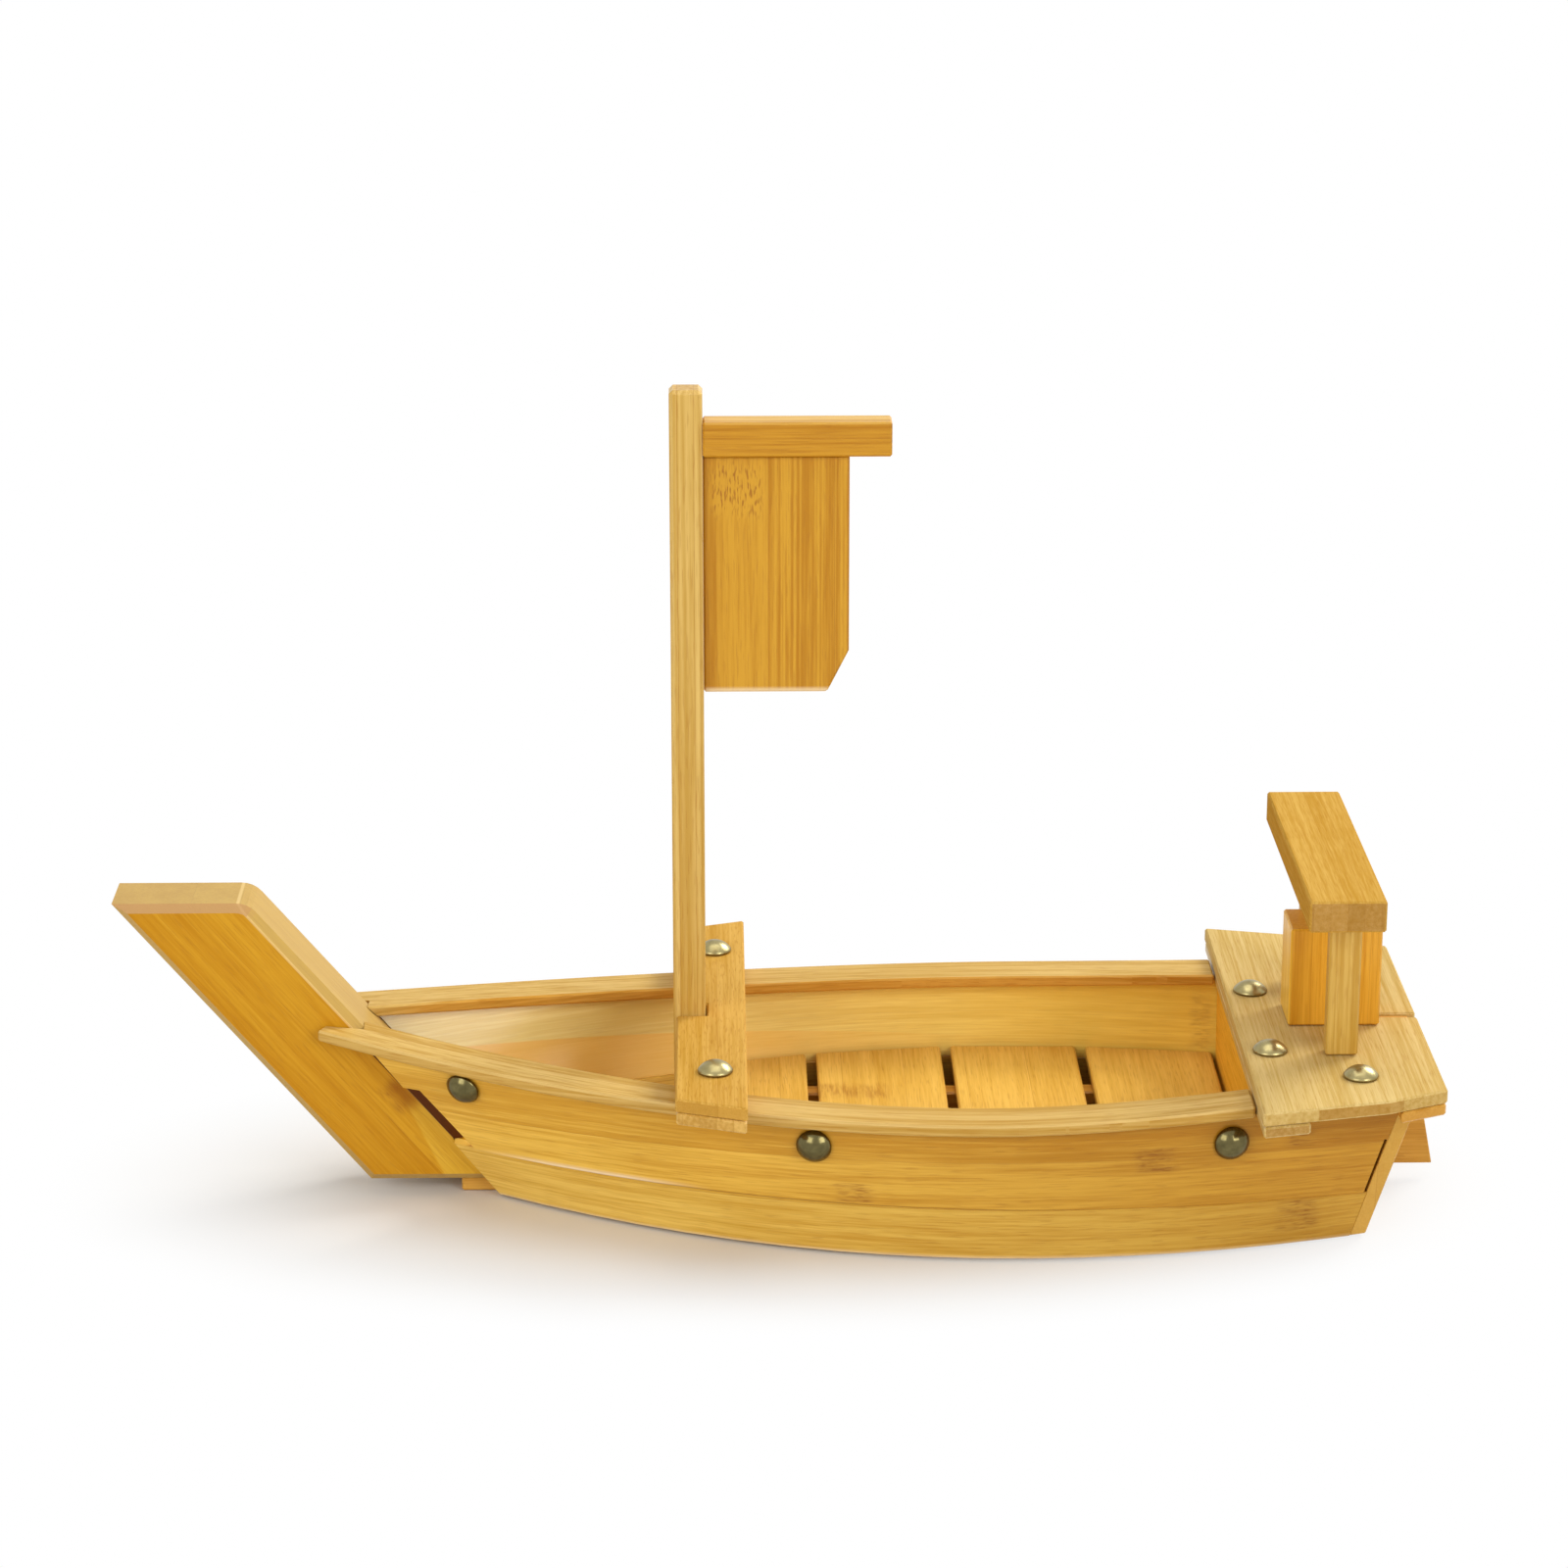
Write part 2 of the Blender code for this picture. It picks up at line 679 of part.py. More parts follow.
def build_floor():
    """Cross slats on two bearers that stand on the bottom board."""
    low, high = SLAT_UNDER_Z, SLAT_UNDER_Z + SLAT_THICK
    for i in range(SLAT_COUNT):
        back_x = FLOOR_AFT_X - (SLAT_COUNT - 1 - i) * (SLAT_WIDTH + SLAT_GAP)
        front_x = max(back_x - SLAT_WIDTH, FLOOR_FRONT_X)
        half = []
        for x in (front_x, back_x):
            half.append((x, min(hold_half(x, z) for z in (low, high)) - SLAT_SIDE_GAP))
        outline = half + [(x, -y) for x, y in reversed(half)]
        middle = at_height(low + SLAT_THICK / 2)
        board(f"floor_slat_{i + 1}", outline, SLAT_THICK, middle, HONEY)
    for label, side in SIDES:
        edges = sorted(side * (BEARER_Y + d) for d in (-BEARER_WIDTH / 2, BEARER_WIDTH / 2))
        block(
            "floor_bearer_" + label,
            (FLOOR_FRONT_X, edges[0], HOLD_FLOOR_Z),
            (FLOOR_AFT_X, edges[1], BEARER_TOP_Z),
            AMBER,
        )


def build_thwart(bores):
    """The mast beam across the rails: two strips with a notch for the mast."""
    notch_x, notch_half = MAST_AFT_X + SLIP, MAST_SIZE / 2 + SLIP
    for name, inset, thick, under in (
        ("mast_thwart", 0.0, BOARD, THWART_UNDER_Z),
        ("thwart_doubler", FIT, DOUBLER, THWART_SEAT_Z),
    ):
        side = [
            (notch_x, notch_half),
            (THWART_FRONT_X + inset, notch_half),
            (THWART_FRONT_X + inset, THWART_HALF_FRONT - inset),
            (THWART_AFT_X - inset, THWART_HALF_AFT - inset),
        ]
        outline = side + [(x, -y) for x, y in reversed(side)]
        middle = at_height(under + thick / 2)
        cut(board(name, outline, thick, middle, HONEY), bores)


def build_rig():
    """The mast in its step, with the yard and the sail on its aft side."""
    low = Vector((MAST_X, 0, HOLD_FLOOR_Z)) - Vector((STEP_SIZE / 2, STEP_SIZE / 2, 0))
    high = low + Vector((STEP_SIZE, STEP_SIZE, STEP_HEIGHT))
    hole = MAST_SIZE / 2 + SLIP
    socket = block(
        "mast_socket",
        (MAST_X - hole, -hole, HOLD_FLOOR_Z + STEP_FLOOR),
        (MAST_X + hole, hole, HOLD_FLOOR_Z + 2 * STEP_HEIGHT),
    )
    cut(block("mast_step", low, high, AMBER), socket)

    axis = bpy.data.objects.new("mast_axis", None)
    axis.location = (MAST_X, 0, MAST_FOOT_Z)
    PARTS.objects.link(axis)
    reach = MAST_SIZE / 2
    block(
        "mast",
        (MAST_X - reach, -reach, MAST_FOOT_Z),
        (MAST_X + reach, reach, MAST_TOP_Z),
        PALE,
        MAST_CHAMFER,
        axis,
    )
    yard_x, yard_top = MAST_AFT_X + FIT, MAST_TOP_Z - YARD_DROP
    block(
        "yard",
        (yard_x, -YARD_DEPTH / 2, yard_top - YARD_HEIGHT),
        (yard_x + YARD_LENGTH, YARD_DEPTH / 2, yard_top),
        AMBER,
        EDGE,
        axis,
    )
    sail_top = yard_top - YARD_HEIGHT - FIT
    sail_foot = sail_top - SAIL_HEIGHT
    sail_aft = yard_x + SAIL_WIDTH
    outline = [
        (yard_x, sail_foot),
        (sail_aft - SAIL_CUT_X, sail_foot),
        (sail_aft, sail_foot + SAIL_CUT_Z),
        (sail_aft, sail_top),
        (yard_x, sail_top),
    ]
    board("sail", outline, SAIL_THICK, UPRIGHT, AMBER, EDGE, axis)


def build_rudder():
    """The blade behind the transom, its neck and tang through the slits and into the head."""
    head_x = DECK_FRONT_X + HEAD_FRONT
    head_z = DECK_TOP_Z + FIT
    axis = bpy.data.objects.new("rudder_axis", None)
    axis.location = (head_x + HEAD_LENGTH / 2, 0, DECK_TOP_Z)
    PARTS.objects.link(axis)
    tang_top = head_z + TANG_HEIGHT
    tang_aft = head_x + HEAD_LENGTH - FIT
    groove = block(
        "tang_groove",
        (TANG_X - FIT, -RUDDER_THICK / 2 - FIT, DECK_TOP_Z - HEAD_HEIGHT),
        (tang_aft + HEAD_LENGTH, RUDDER_THICK / 2 + FIT, tang_top + FIT),
    )
    head = block(
        "rudder_head",
        (head_x, -HEAD_WIDTH / 2, head_z),
        (head_x + HEAD_LENGTH, HEAD_WIDTH / 2, head_z + HEAD_HEIGHT),
        AMBER,
        EDGE,
        axis,
    )
    cut(head, groove)
    deck_line = DECK_TOP_Z - BLADE_RECESS
    neck_x = transom_x(NECK_Z) - TRANSOM_THICK
    outline = [
        (TANG_X, TANG_FOOT_Z),
        (neck_x, TANG_FOOT_Z),
        (neck_x, NECK_Z),
        (transom_x(NECK_Z) + BLADE_GAP, NECK_Z),
        (transom_x(BLADE_FOOT_Z) + BLADE_GAP, BLADE_FOOT_Z),
        (BLADE_FOOT_X, BLADE_FOOT_Z),
        (tang_aft + BLADE_TOP_LENGTH, deck_line),
        (tang_aft, deck_line),
        (tang_aft, tang_top),
        (TANG_X, tang_top),
    ]
    board("rudder_blade", outline, RUDDER_THICK, UPRIGHT, AMBER, EDGE / 2, axis)


def build_gate():
    """The small gate over the rudder head: a crossbar on two legs."""
    front_x = DECK_FRONT_X + GATE_FRONT
    leg_x, leg_z = front_x + LEG_SETBACK, DECK_TOP_Z + FIT
    for label, side in SIDES:
        edges = sorted((side * LEG_OUTER_Y, side * (LEG_OUTER_Y - LEG_DEPTH)))
        block(
            "gate_leg_" + label,
            (leg_x, edges[0], leg_z),
            (leg_x + LEG_WIDTH, edges[1], leg_z + LEG_HEIGHT),
            PALE,
        )
    bar_z = leg_z + LEG_HEIGHT + FIT
    block(
        "gate_crossbar",
        (front_x, -GATE_LENGTH / 2, bar_z),
        (front_x + GATE_WIDTH, GATE_LENGTH / 2, bar_z + GATE_THICK),
        HONEY,
    )


def tack_places():
    """Name, place and outward direction of each tack's head, and the length of its shank."""
    up = Vector((0, 0, 1))
    side_tacks, thwart_tacks, deck_tacks = [], [], []
    for label, side in SIDES:
        for where, x, drop in SIDE_TACKS:
            z = rail_top(x) - RAIL_THICK - drop
            u, step = station(x, z), 0.01
            point = skin(u, z)
            proud = PROUD * max(0.0, 1 - u / PROUD_FADE)
            head_z = plank_top(between(SHEER_BOW_X, STERN_X, u))
            point.y += proud * (head_z - z) / (head_z - knuckle(u))
            along = skin(u + step, z) - skin(u - step, z)
            upward = skin(u, z + step / 10) - skin(u, z - step / 10)
            out = upward.cross(along).normalized()
            if out.y < 0:
                out.negate()
            spot = point + out * FIT
            turn = Vector((1, side, 1))
            side_tacks.append((f"side_tack_{where}_{label}", spot * turn, out * turn))
        x = THWART_FRONT_X + THWART_TACK_SETBACK
        spot = Vector((x, side * (rail_half(x) - RAIL_WIDTH / 2), THWART_TOP_Z + FIT))
        thwart_tacks.append((f"thwart_tack_{label}", spot, up))
    for name, setback, y in DECK_TACKS:
        deck_tacks.append((name, Vector((DECK_FRONT_X + setback, y, DECK_TOP_Z + FIT)), up))
    return side_tacks, thwart_tacks, deck_tacks


def tack_mesh(name, shank):
    """Half profile of a tack, from the top of its dome down to its point."""
    radius = (TACK_RADIUS**2 + TACK_HEIGHT**2) / (2 * TACK_HEIGHT)
    sweep = math.asin(TACK_RADIUS / radius)
    profile = []
    for i in range(DOME_STEPS + 1):
        angle = sweep * i / DOME_STEPS
        profile.append((radius * math.sin(angle), radius * (math.cos(angle) - 1) + TACK_HEIGHT))
    profile += [
        (TACK_SHANK_RADIUS, 0.0),
        (TACK_SHANK_RADIUS, TACK_POINT - shank),
        (0.0, -shank),
    ]
    shape = bmesh.new()
    points = [shape.verts.new((x, 0.0, z)) for x, z in profile]
    for first, second in zip(points, points[1:]):
        shape.edges.new((first, second))
    mesh = bpy.data.meshes.new(name)
    shape.to_mesh(mesh)
    shape.free()
    return mesh


def build_tacks(places, shank):
    """The tacks of one group, each turned from its half profile."""
    for name, spot, out in places:
        frame = Matrix.Translation(spot) @ out.to_track_quat("Z", "Y").to_matrix().to_4x4()
        mesh = tack_mesh(name, shank)
        tack = bpy.data.objects.new(name, mesh)
        PARTS.objects.link(tack)
        tack.matrix_world = frame
        mesh.materials.append(finish(name, BRONZE, BRONZE_ROUGHNESS, 1.0))
        turn = tack.modifiers.new("turned", "SCREW")
        turn.axis = "Z"
        turn.steps = TACK_SEGMENTS
        turn.render_steps = TACK_SEGMENTS
        turn.use_merge_vertices = True
        turn.merge_threshold = 1e-5
        turn.use_smooth_shade = True


def tack_bores(name, places, shank):
    """One cutter with the holes of a group of tacks."""
    shape = bmesh.new()
    depth = shank + TACK_HEIGHT
    for _, spot, out in places:
        turn = out.to_track_quat("Z", "Y").to_matrix().to_4x4()
        drop = Matrix.Translation((0, 0, TACK_HEIGHT - FIT - depth / 2))
        bmesh.ops.create_cone(
            shape,
            cap_ends=True,
            segments=TACK_SEGMENTS // 2,
            radius1=TACK_SHANK_RADIUS + FIT,
            radius2=TACK_SHANK_RADIUS + FIT,
            depth=depth,
            matrix=Matrix.Translation(spot) @ turn @ drop,
        )
    mesh = bpy.data.meshes.new(name)
    shape.to_mesh(mesh)
    shape.free()
    return placed(name, mesh, FLAT)


def main():
    """Build the boat from the keel up."""
    side_tacks, thwart_tacks, deck_tacks = tack_places()
    build_stem()
    build_bottom()
    build_strakes(tack_bores("side_tack_bores", side_tacks, SIDE_SHANK))
    build_rails()
    build_transom()
    build_bulkhead()
    build_deck(tack_bores("deck_tack_bores", deck_tacks, DECK_SHANK))
    build_floor()
    build_thwart(tack_bores("thwart_tack_bores", thwart_tacks, DECK_SHANK))
    build_rig()
    build_rudder()
    build_gate()
    build_tacks(side_tacks, SIDE_SHANK)
    build_tacks(thwart_tacks + deck_tacks, DECK_SHANK)


main()
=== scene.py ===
"""Looks of a varnished bamboo sushi boat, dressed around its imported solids."""

import logging
import math
from collections.abc import Mapping, Sequence
from dataclasses import dataclass, replace
from enum import Enum
from typing import Optional, Union

import bmesh
import bpy
import numpy as np
from mathutils import Matrix, Vector


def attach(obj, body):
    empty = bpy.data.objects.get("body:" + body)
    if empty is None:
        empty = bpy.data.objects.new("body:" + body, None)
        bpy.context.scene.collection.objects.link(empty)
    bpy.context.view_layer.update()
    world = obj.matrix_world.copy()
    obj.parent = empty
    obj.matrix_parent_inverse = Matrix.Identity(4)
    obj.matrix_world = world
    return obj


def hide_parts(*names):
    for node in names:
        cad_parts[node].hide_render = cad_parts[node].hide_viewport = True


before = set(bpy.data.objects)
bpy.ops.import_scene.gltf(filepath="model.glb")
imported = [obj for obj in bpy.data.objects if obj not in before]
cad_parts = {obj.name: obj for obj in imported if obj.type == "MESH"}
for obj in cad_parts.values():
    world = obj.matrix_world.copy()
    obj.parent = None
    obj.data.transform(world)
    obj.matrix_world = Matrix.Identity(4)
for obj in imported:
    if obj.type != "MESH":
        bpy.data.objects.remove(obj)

LOG = logging.getLogger("sushi_boat")
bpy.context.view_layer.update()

Colour = tuple[float, float, float]
Point = Union[tuple[float, float, float], Vector]
Span = tuple[float, float]
Number = Union[float, "Wire"]
Axes = Mapping[Optional[str], Number]
Owner = Union[bpy.types.Material, bpy.types.World]

WHITE: Colour = (1.0, 1.0, 1.0)
SEEN_RAYS = ("Is Camera Ray", "Is Glossy Ray", "Is Transmission Ray")
SIDES = ("port", "starboard")
MERGE_DISTANCE = 1e-6


class Wire:
    """An output socket of a shader graph, with its maths written as operators."""

    def __init__(self, graph: "Graph", socket: bpy.types.NodeSocket) -> None:
        """Keep the graph and the socket."""
        self.graph = graph
        self.socket = socket

    def __add__(self, other: Number) -> "Wire":
        """Sum."""
        return self.graph.math("ADD", self, other)

    def __radd__(self, other: Number) -> "Wire":
        """Sum, with a number first."""
        return self.graph.math("ADD", other, self)

    def __sub__(self, other: Number) -> "Wire":
        """Difference."""
        return self.graph.math("SUBTRACT", self, other)

    def __rsub__(self, other: Number) -> "Wire":
        """Difference, with a number first."""
        return self.graph.math("SUBTRACT", other, self)

    def __mul__(self, other: Number) -> "Wire":
        """Product."""
        return self.graph.math("MULTIPLY", self, other)

    def __rmul__(self, other: Number) -> "Wire":
        """Product, with a number first."""
        return self.graph.math("MULTIPLY", other, self)

    def __truediv__(self, other: Number) -> "Wire":
        """Quotient."""
        return self.graph.math("DIVIDE", self, other)

    def __pow__(self, other: Number) -> "Wire":
        """Power."""
        return self.graph.math("POWER", self, other)

    def __abs__(self) -> "Wire":
        """Size without sign."""
        return self.graph.math("ABSOLUTE", self)

    def floor(self) -> "Wire":
        """Whole part."""
        return self.graph.math("FLOOR", self)

    def most(self, other: Number) -> "Wire":
        """The larger of two values."""
        return self.graph.math("MAXIMUM", self, other)

    def least(self, other: Number) -> "Wire":
        """The smaller of two values."""
        return self.graph.math("MINIMUM", self, other)

    def ramp(self, low: float, high: float, start: float = 0.0, end: float = 1.0) -> "Wire":
        """Map a span of values smoothly onto another, held at both ends.

        Args:
            low: Value that gives start.
            high: Value that gives end.
            start: Result at low.
            end: Result at high.

        Returns:
            The mapped value.
        """
        return self.graph.node(
            "ShaderNodeMapRange",
            {"interpolation_type": "SMOOTHSTEP"},
            {"Value": self, "From Min": low, "From Max": high, "To Min": start, "To Max": end},
        )


class Graph:
    """The node tree of a material or a world."""

    def __init__(self, owner: Owner) -> None:
        """Start with an empty tree."""
        self.owner = owner
        owner.use_nodes = True
        self.tree = owner.node_tree
        self.tree.nodes.clear()

    def node(
        self,
        kind: str,
        settings: Optional[Mapping[str, object]] = None,
        sockets: Optional[Mapping[Union[str, int], object]] = None,
        out: Union[str, int] = 0,
    ) -> Wire:
        """Add any node.

        Args:
            kind: The node's type.
            settings: Values of the node itself, set before its sockets.
            sockets: Values or wires for its input sockets, by name or number.
            out: The output socket to return.

        Returns:
            The chosen output.
        """
        node = self.tree.nodes.new(kind)
        for name, value in (settings or {}).items():
            setattr(node, name, value)
        for name, value in (sockets or {}).items():
            if isinstance(value, Wire):
                self.tree.links.new(value.socket, node.inputs[name])
            elif isinstance(value, tuple) and node.inputs[name].type == "RGBA":
                node.inputs[name].default_value = (*value, 1.0)
            else:
                node.inputs[name].default_value = value
        return Wire(self, node.outputs[out] if len(node.outputs) else None)

    def math(self, operation: str, *values: Number) -> Wire:
        """Add a Math node for one operation on values."""
        return self.node("ShaderNodeMath", {"operation": operation}, dict(enumerate(values)))

    def mix(self, factor: Number, first: object, second: object, mode: str = "MIX") -> Wire:
        """Blend two colours.

        Args:
            factor: Share of the second colour.
            first: Colour or wire at 0.
            second: Colour or wire at 1.
            mode: How the two are blended.

        Returns:
            The blended colour.
        """
        settings = {"data_type": "RGBA", "blend_type": mode}
        return self.node("ShaderNodeMix", settings, {0: factor, 6: first, 7: second}, 2)

    def point(self, x: Number, y: Number, z: Number) -> Wire:
        """Join three values into a vector."""
        return self.node("ShaderNodeCombineXYZ", None, {0: x, 1: y, 2: z})

    def split(self, vector: Wire) -> Axes:
        """Parts of a vector by the name of their axis, with nothing along no axis."""
        parts = self.node("ShaderNodeSeparateXYZ", None, {0: vector}).socket.node.outputs
        return {None: 0.0, **{part.name: Wire(self, part) for part in parts}}

    def noise(self, place: Wire, detail: float = 0.0, rough: float = 0.5) -> Wire:
        """Smooth noise at a place, one unit to a cell."""
        sockets = {"Vector": place, "Scale": 1.0, "Detail": detail, "Roughness": rough}
        return self.node("ShaderNodeTexNoise", None, sockets)

    def shown(self) -> Wire:
        """Whether the camera sees a point: straight, mirrored or through glass."""
        straight, mirrored, through = (
            self.node("ShaderNodeLightPath", out=kind) for kind in SEEN_RAYS
        )
        return straight.most(mirrored).most(through)

    def surface(self, shader: Wire) -> Owner:
        """Join a shader to the output, and return what the tree belongs to."""
        kind = "World" if isinstance(self.owner, bpy.types.World) else "Material"
        self.node(f"ShaderNodeOutput{kind}", None, {"Surface": shader})
        return self.owner


class Grain(Enum):
    """Axes that run along the grain, across it and through the board.

    A bent plank has no through axis, so that its bend doesn't cut across the fibres.
    """

    LENGTH = ("X", "Z", "Y")
    PLANK = ("X", "Z", None)
    BEAM = ("Y", "X", "Z")
    HEIGHT = ("Z", "X", "Y")
    FLAT = ("X", "Y", "Z")


@dataclass(frozen=True)
class Knot:
    """A culm joint on a strip: a patch of short dark dashes in paler wood.

    Its place is in metres along and across the grain. Depth is the strength of the dashes,
    and stain that of the brown flames between them.
    """

    along: float
    across: float
    half_length: float = 0.0065
    half_width: float = 0.0100
    depth: float = 1.0
    stain: float = 0.0


@dataclass(frozen=True)
class Band:
    """A change of shade from one place across the grain onwards."""

    edge: float
    change: float


@dataclass(frozen=True)
class Tint:
    """Painted light and shade: a factor on the faces that look one way along an axis."""

    axis: str
    sign: float
    colour: Colour
    turn: Span = (0.6, 0.8)

    def over(self, facing: Axes) -> Wire:
        """How far a surface looks that way."""
        return (facing[self.axis] * self.sign).ramp(*self.turn)


@dataclass(frozen=True)
class Bend:
    """Plan of the gunwale's outer edge, which the rails' grain follows."""

    widest_x: float = 0.067
    bow_x: float = -0.1465
    stern_x: float = 0.1954
    half: float = 0.0730
    bow_drop: float = 0.0565
    stern_drop: float = 0.0175
    bow_power: float = 1.83
    stern_power: float = 1.70

    def inward(self, along: Wire, beam: Wire) -> Wire:
        """Distance in from the edge.

        Args:
            along: Place along the boat.
            beam: Place across the boat.

        Returns:
            The distance across the rail.
        """
        ahead = ((self.widest_x - along) / (self.widest_x - self.bow_x)).most(0.0)
        behind = ((along - self.widest_x) / (self.stern_x - self.widest_x)).most(0.0)
        drop = ahead**self.bow_power * self.bow_drop + behind**self.stern_power * self.stern_drop
        return self.half - drop - abs(beam)


@dataclass(frozen=True)
class BambooFinish:
    """Laminated bamboo under clear varnish.

    Colours are linear. Lengths are in metres, rates are per metre, and a pair of rates runs
    along the grain and across it. A contrast is a share of the way from deep to pale, and a
    span gives the values of a pattern between which it shows.
    """

    pale: Colour
    deep: Colour
    burnt: Colour = (0.36, 0.135, 0.012)
    burn_limit: float = 0.92
    strip: float = 0.0205
    strip_contrast: float = 0.30
    strip_slip: float = 0.9
    strip_seed: float = 3.7
    fibre: float = 0.00080
    fibre_length: float = 0.028
    fibre_contrast: float = 1.25
    fibre_rough: float = 0.6
    streak: float = 0.0040
    streak_length: float = 0.11
    streak_contrast: float = 0.95
    cloud: float = 0.022
    cloud_length: float = 0.06
    cloud_contrast: float = 0.45
    wander: float = 0.0012
    wander_rate: float = 11.0
    line: float = 0.0012
    line_length: float = 0.30
    line_contrast: float = 0.0
    lined_from: float = -1.0
    lined_step: float = 0.0002
    band_step: float = 0.0003
    pore_length: float = 0.0070
    pore_share: float = 0.55
    pore_span: Span = (0.09, 0.24)
    pore_depth: float = 0.24
    seam: float = 0.00022
    seam_depth: float = 0.30
    knot_pale: float = 0.25
    knot_length: Span = (1.0, 0.35)
    knot_width: Span = (1.0, 0.60)
    ragged: float = 0.7
    ragged_rate: float = 520.0
    dash_rates: Span = (330.0, 1700.0)
    dash_span: Span = (0.50, 0.68)
    dash_depth: float = 0.72
    flame_rates: Span = (130.0, 640.0)
    flame_span: Span = (0.32, 0.68)
    flame_least: float = 0.20
    end_dark: Colour = (0.76, 0.70, 0.58)
    end_light: Colour = (0.96, 0.92, 0.84)
    end_turn: Span = (0.78, 0.95)
    end_calm: float = 0.75
    end_dot: float = 0.0004
    end_dot_span: Span = (0.25, 0.75)
    end_dot_shade: Span = (0.35, 0.65)
    end_strip_contrast: float = 0.6
    relief: float = 0.0003
    relief_strength: float = 0.25
    fibre_relief: float = 0.5
    streak_relief: float = 0.3
    roughness: float = 0.42
    deep_rougher: float = 0.08
    pale_smoother: float = 0.05
    specular: float = 0.14
    coat: float = 0.22
    coat_roughness: float = 0.20
    coat_ior: float = 1.48
    tone_limits: Span = (0.92, 0.88)
    # painted light and shade on faces, by the way they look
    tints: Sequence[Tint] = ()

    def toned(self, red: float, green: float, blue: float, **changes: object) -> "BambooFinish":
        """The same finish in another tone.

        Args:
            red: Factor on red.
            green: Factor on green.
            blue: Factor on blue.
            changes: Other values to change.

        Returns:
            The new finish.
        """
        tone = (red, green, blue)
        pale, deep = (
            tuple(min(limit, c * t) for c, t in zip(colour, tone))
            for limit, colour in zip(self.tone_limits, (self.pale, self.deep))
        )
        return replace(self, pale=pale, deep=deep, **changes)

    def material(
        self,
        name: str,
        grain: Grain,
        seed: float = 0.0,
        turn: float = 0.0,
        shift: float = 0.0,
        knots: Sequence[Knot] = (),
        bands: Sequence[Band] = (),
        ends: Sequence[Band] = (),
        bend: Optional[Bend] = None,
    ) -> bpy.types.Material:
        """Make the finish for one piece.

        Args:
            name: Name of the material.
            grain: Which way the grain runs.
            seed: Where in the pattern this piece is cut from.
            turn: Turn of the pattern about the beam axis, in radians.
            shift: Place of a strip's edge across the grain.
            knots: The culm joints that show.
            bands: Strips that are darker or paler than their neighbours.
            ends: Strips that are so on the end grain only.
            bend: The edge that the grain follows, if it is bent.

        Returns:
            The material.
        """
        g = Graph(bpy.data.materials.new(name))
        place, facing = self.turned(g, "Object", turn), self.turned(g, "Normal", turn)
        along, across, through = (place[axis] for axis in grain.value)
        if bend is not None:
            across = bend.inward(along, across)
        waver = g.noise(g.point(along * self.wander_rate, seed, 0.5)) - 0.5
        wavy = across + waver * self.wander
        strips = (across - shift) / self.strip
        index = strips.floor()
        lot = index + seed * self.strip_seed
        luck = g.node("ShaderNodeTexWhiteNoise", {"noise_dimensions": "1D"}, {"W": lot})
        run = along + luck * self.strip_slip + seed

        def fibres(length: float, width: float, detail: float = 0.0) -> Wire:
            """Noise stretched along the grain, less its mean."""
            spot = g.point(run / length, wavy / width + seed, through * (1 / width))
            return g.noise(spot, detail, self.fibre_rough) - 0.5

        def stepped(value: Wire, steps: Sequence[Band]) -> Wire:
            """A value with the changes from strip to strip."""
            for band in steps:
                top = band.edge + self.band_step
                value = value + across.ramp(band.edge, top, 0.0, band.change)
            return value

        fine = fibres(self.fibre_length, self.fibre, 2.0)
        streak = fibres(self.streak_length, self.streak, 2.0)
        end = abs(facing[grain.value[0]]).ramp(*self.end_turn)
        grained = fine * self.fibre_contrast + streak * self.streak_contrast
        shade = (
            grained * (1 - end * self.end_calm)
            + fibres(self.cloud_length, self.cloud, 1.0) * self.cloud_contrast
            + (luck - 0.5) * self.strip_contrast
            + 0.5
        )
        if self.line_contrast:
            top = self.lined_from + self.lined_step
            lined = across.ramp(self.lined_from, top, 0.0, self.line_contrast)
            shade = shade + fibres(self.line_length, self.line) * lined
        shade = stepped(shade, bands)
        pore = fibres(self.pore_length, self.pore_share * self.fibre).ramp(*self.pore_span)
        rim = abs(strips - index - 0.5).ramp(0.5 - self.seam / self.strip, 0.5)
        burn = pore * (1 - end) * self.pore_depth + rim * self.seam_depth
        if knots:
            patch, stain = self.knot_patches(g, along, across, seed, knots)
            dashes, flames = (
                g.noise(g.point(along * rates[0], wavy * rates[1], seed), detail)
                for rates, detail in ((self.dash_rates, 1.0), (self.flame_rates, 2.0))
            )
            burn = burn + patch * dashes.ramp(*self.dash_span) * self.dash_depth
            burn = burn + stain * flames.ramp(*self.flame_span, self.flame_least, 1.0)
            shade = shade + patch * self.knot_pale
        colour = g.mix(shade.ramp(0.0, 1.0), self.deep, self.pale)
        colour = g.mix(burn.least(self.burn_limit), colour, self.burnt)
        dot = self.end_dot
        dots = g.noise(g.point(across / dot, through * (1 / dot), along / dot), 1.0)
        cut_shade = dots.ramp(*self.end_dot_span, *self.end_dot_shade)
        if not ends:
            cut_shade = cut_shade + (luck - 0.5) * self.end_strip_contrast
        cut_shade = stepped(cut_shade, ends)
        cut = g.mix(cut_shade.ramp(0.0, 1.0), self.end_dark, self.end_light)
        colour = g.mix(end, colour, cut, "MULTIPLY")
        # Paint light and shade onto faces by the way they look.
        for tint in self.tints:
            colour = g.mix(tint.over(facing), colour, tint.colour, "MULTIPLY")
        # Real stains, and painted light and shade.
        colour = self.stains_and_light(g, colour, place, facing)
        height = fine * self.fibre_relief + streak * self.streak_relief - burn
        bump = g.node(
            "ShaderNodeBump",
            None,
            {"Strength": self.relief_strength, "Distance": self.relief, "Height": height},
        )
        rough = (self.roughness + self.deep_rougher, self.roughness - self.pale_smoother)
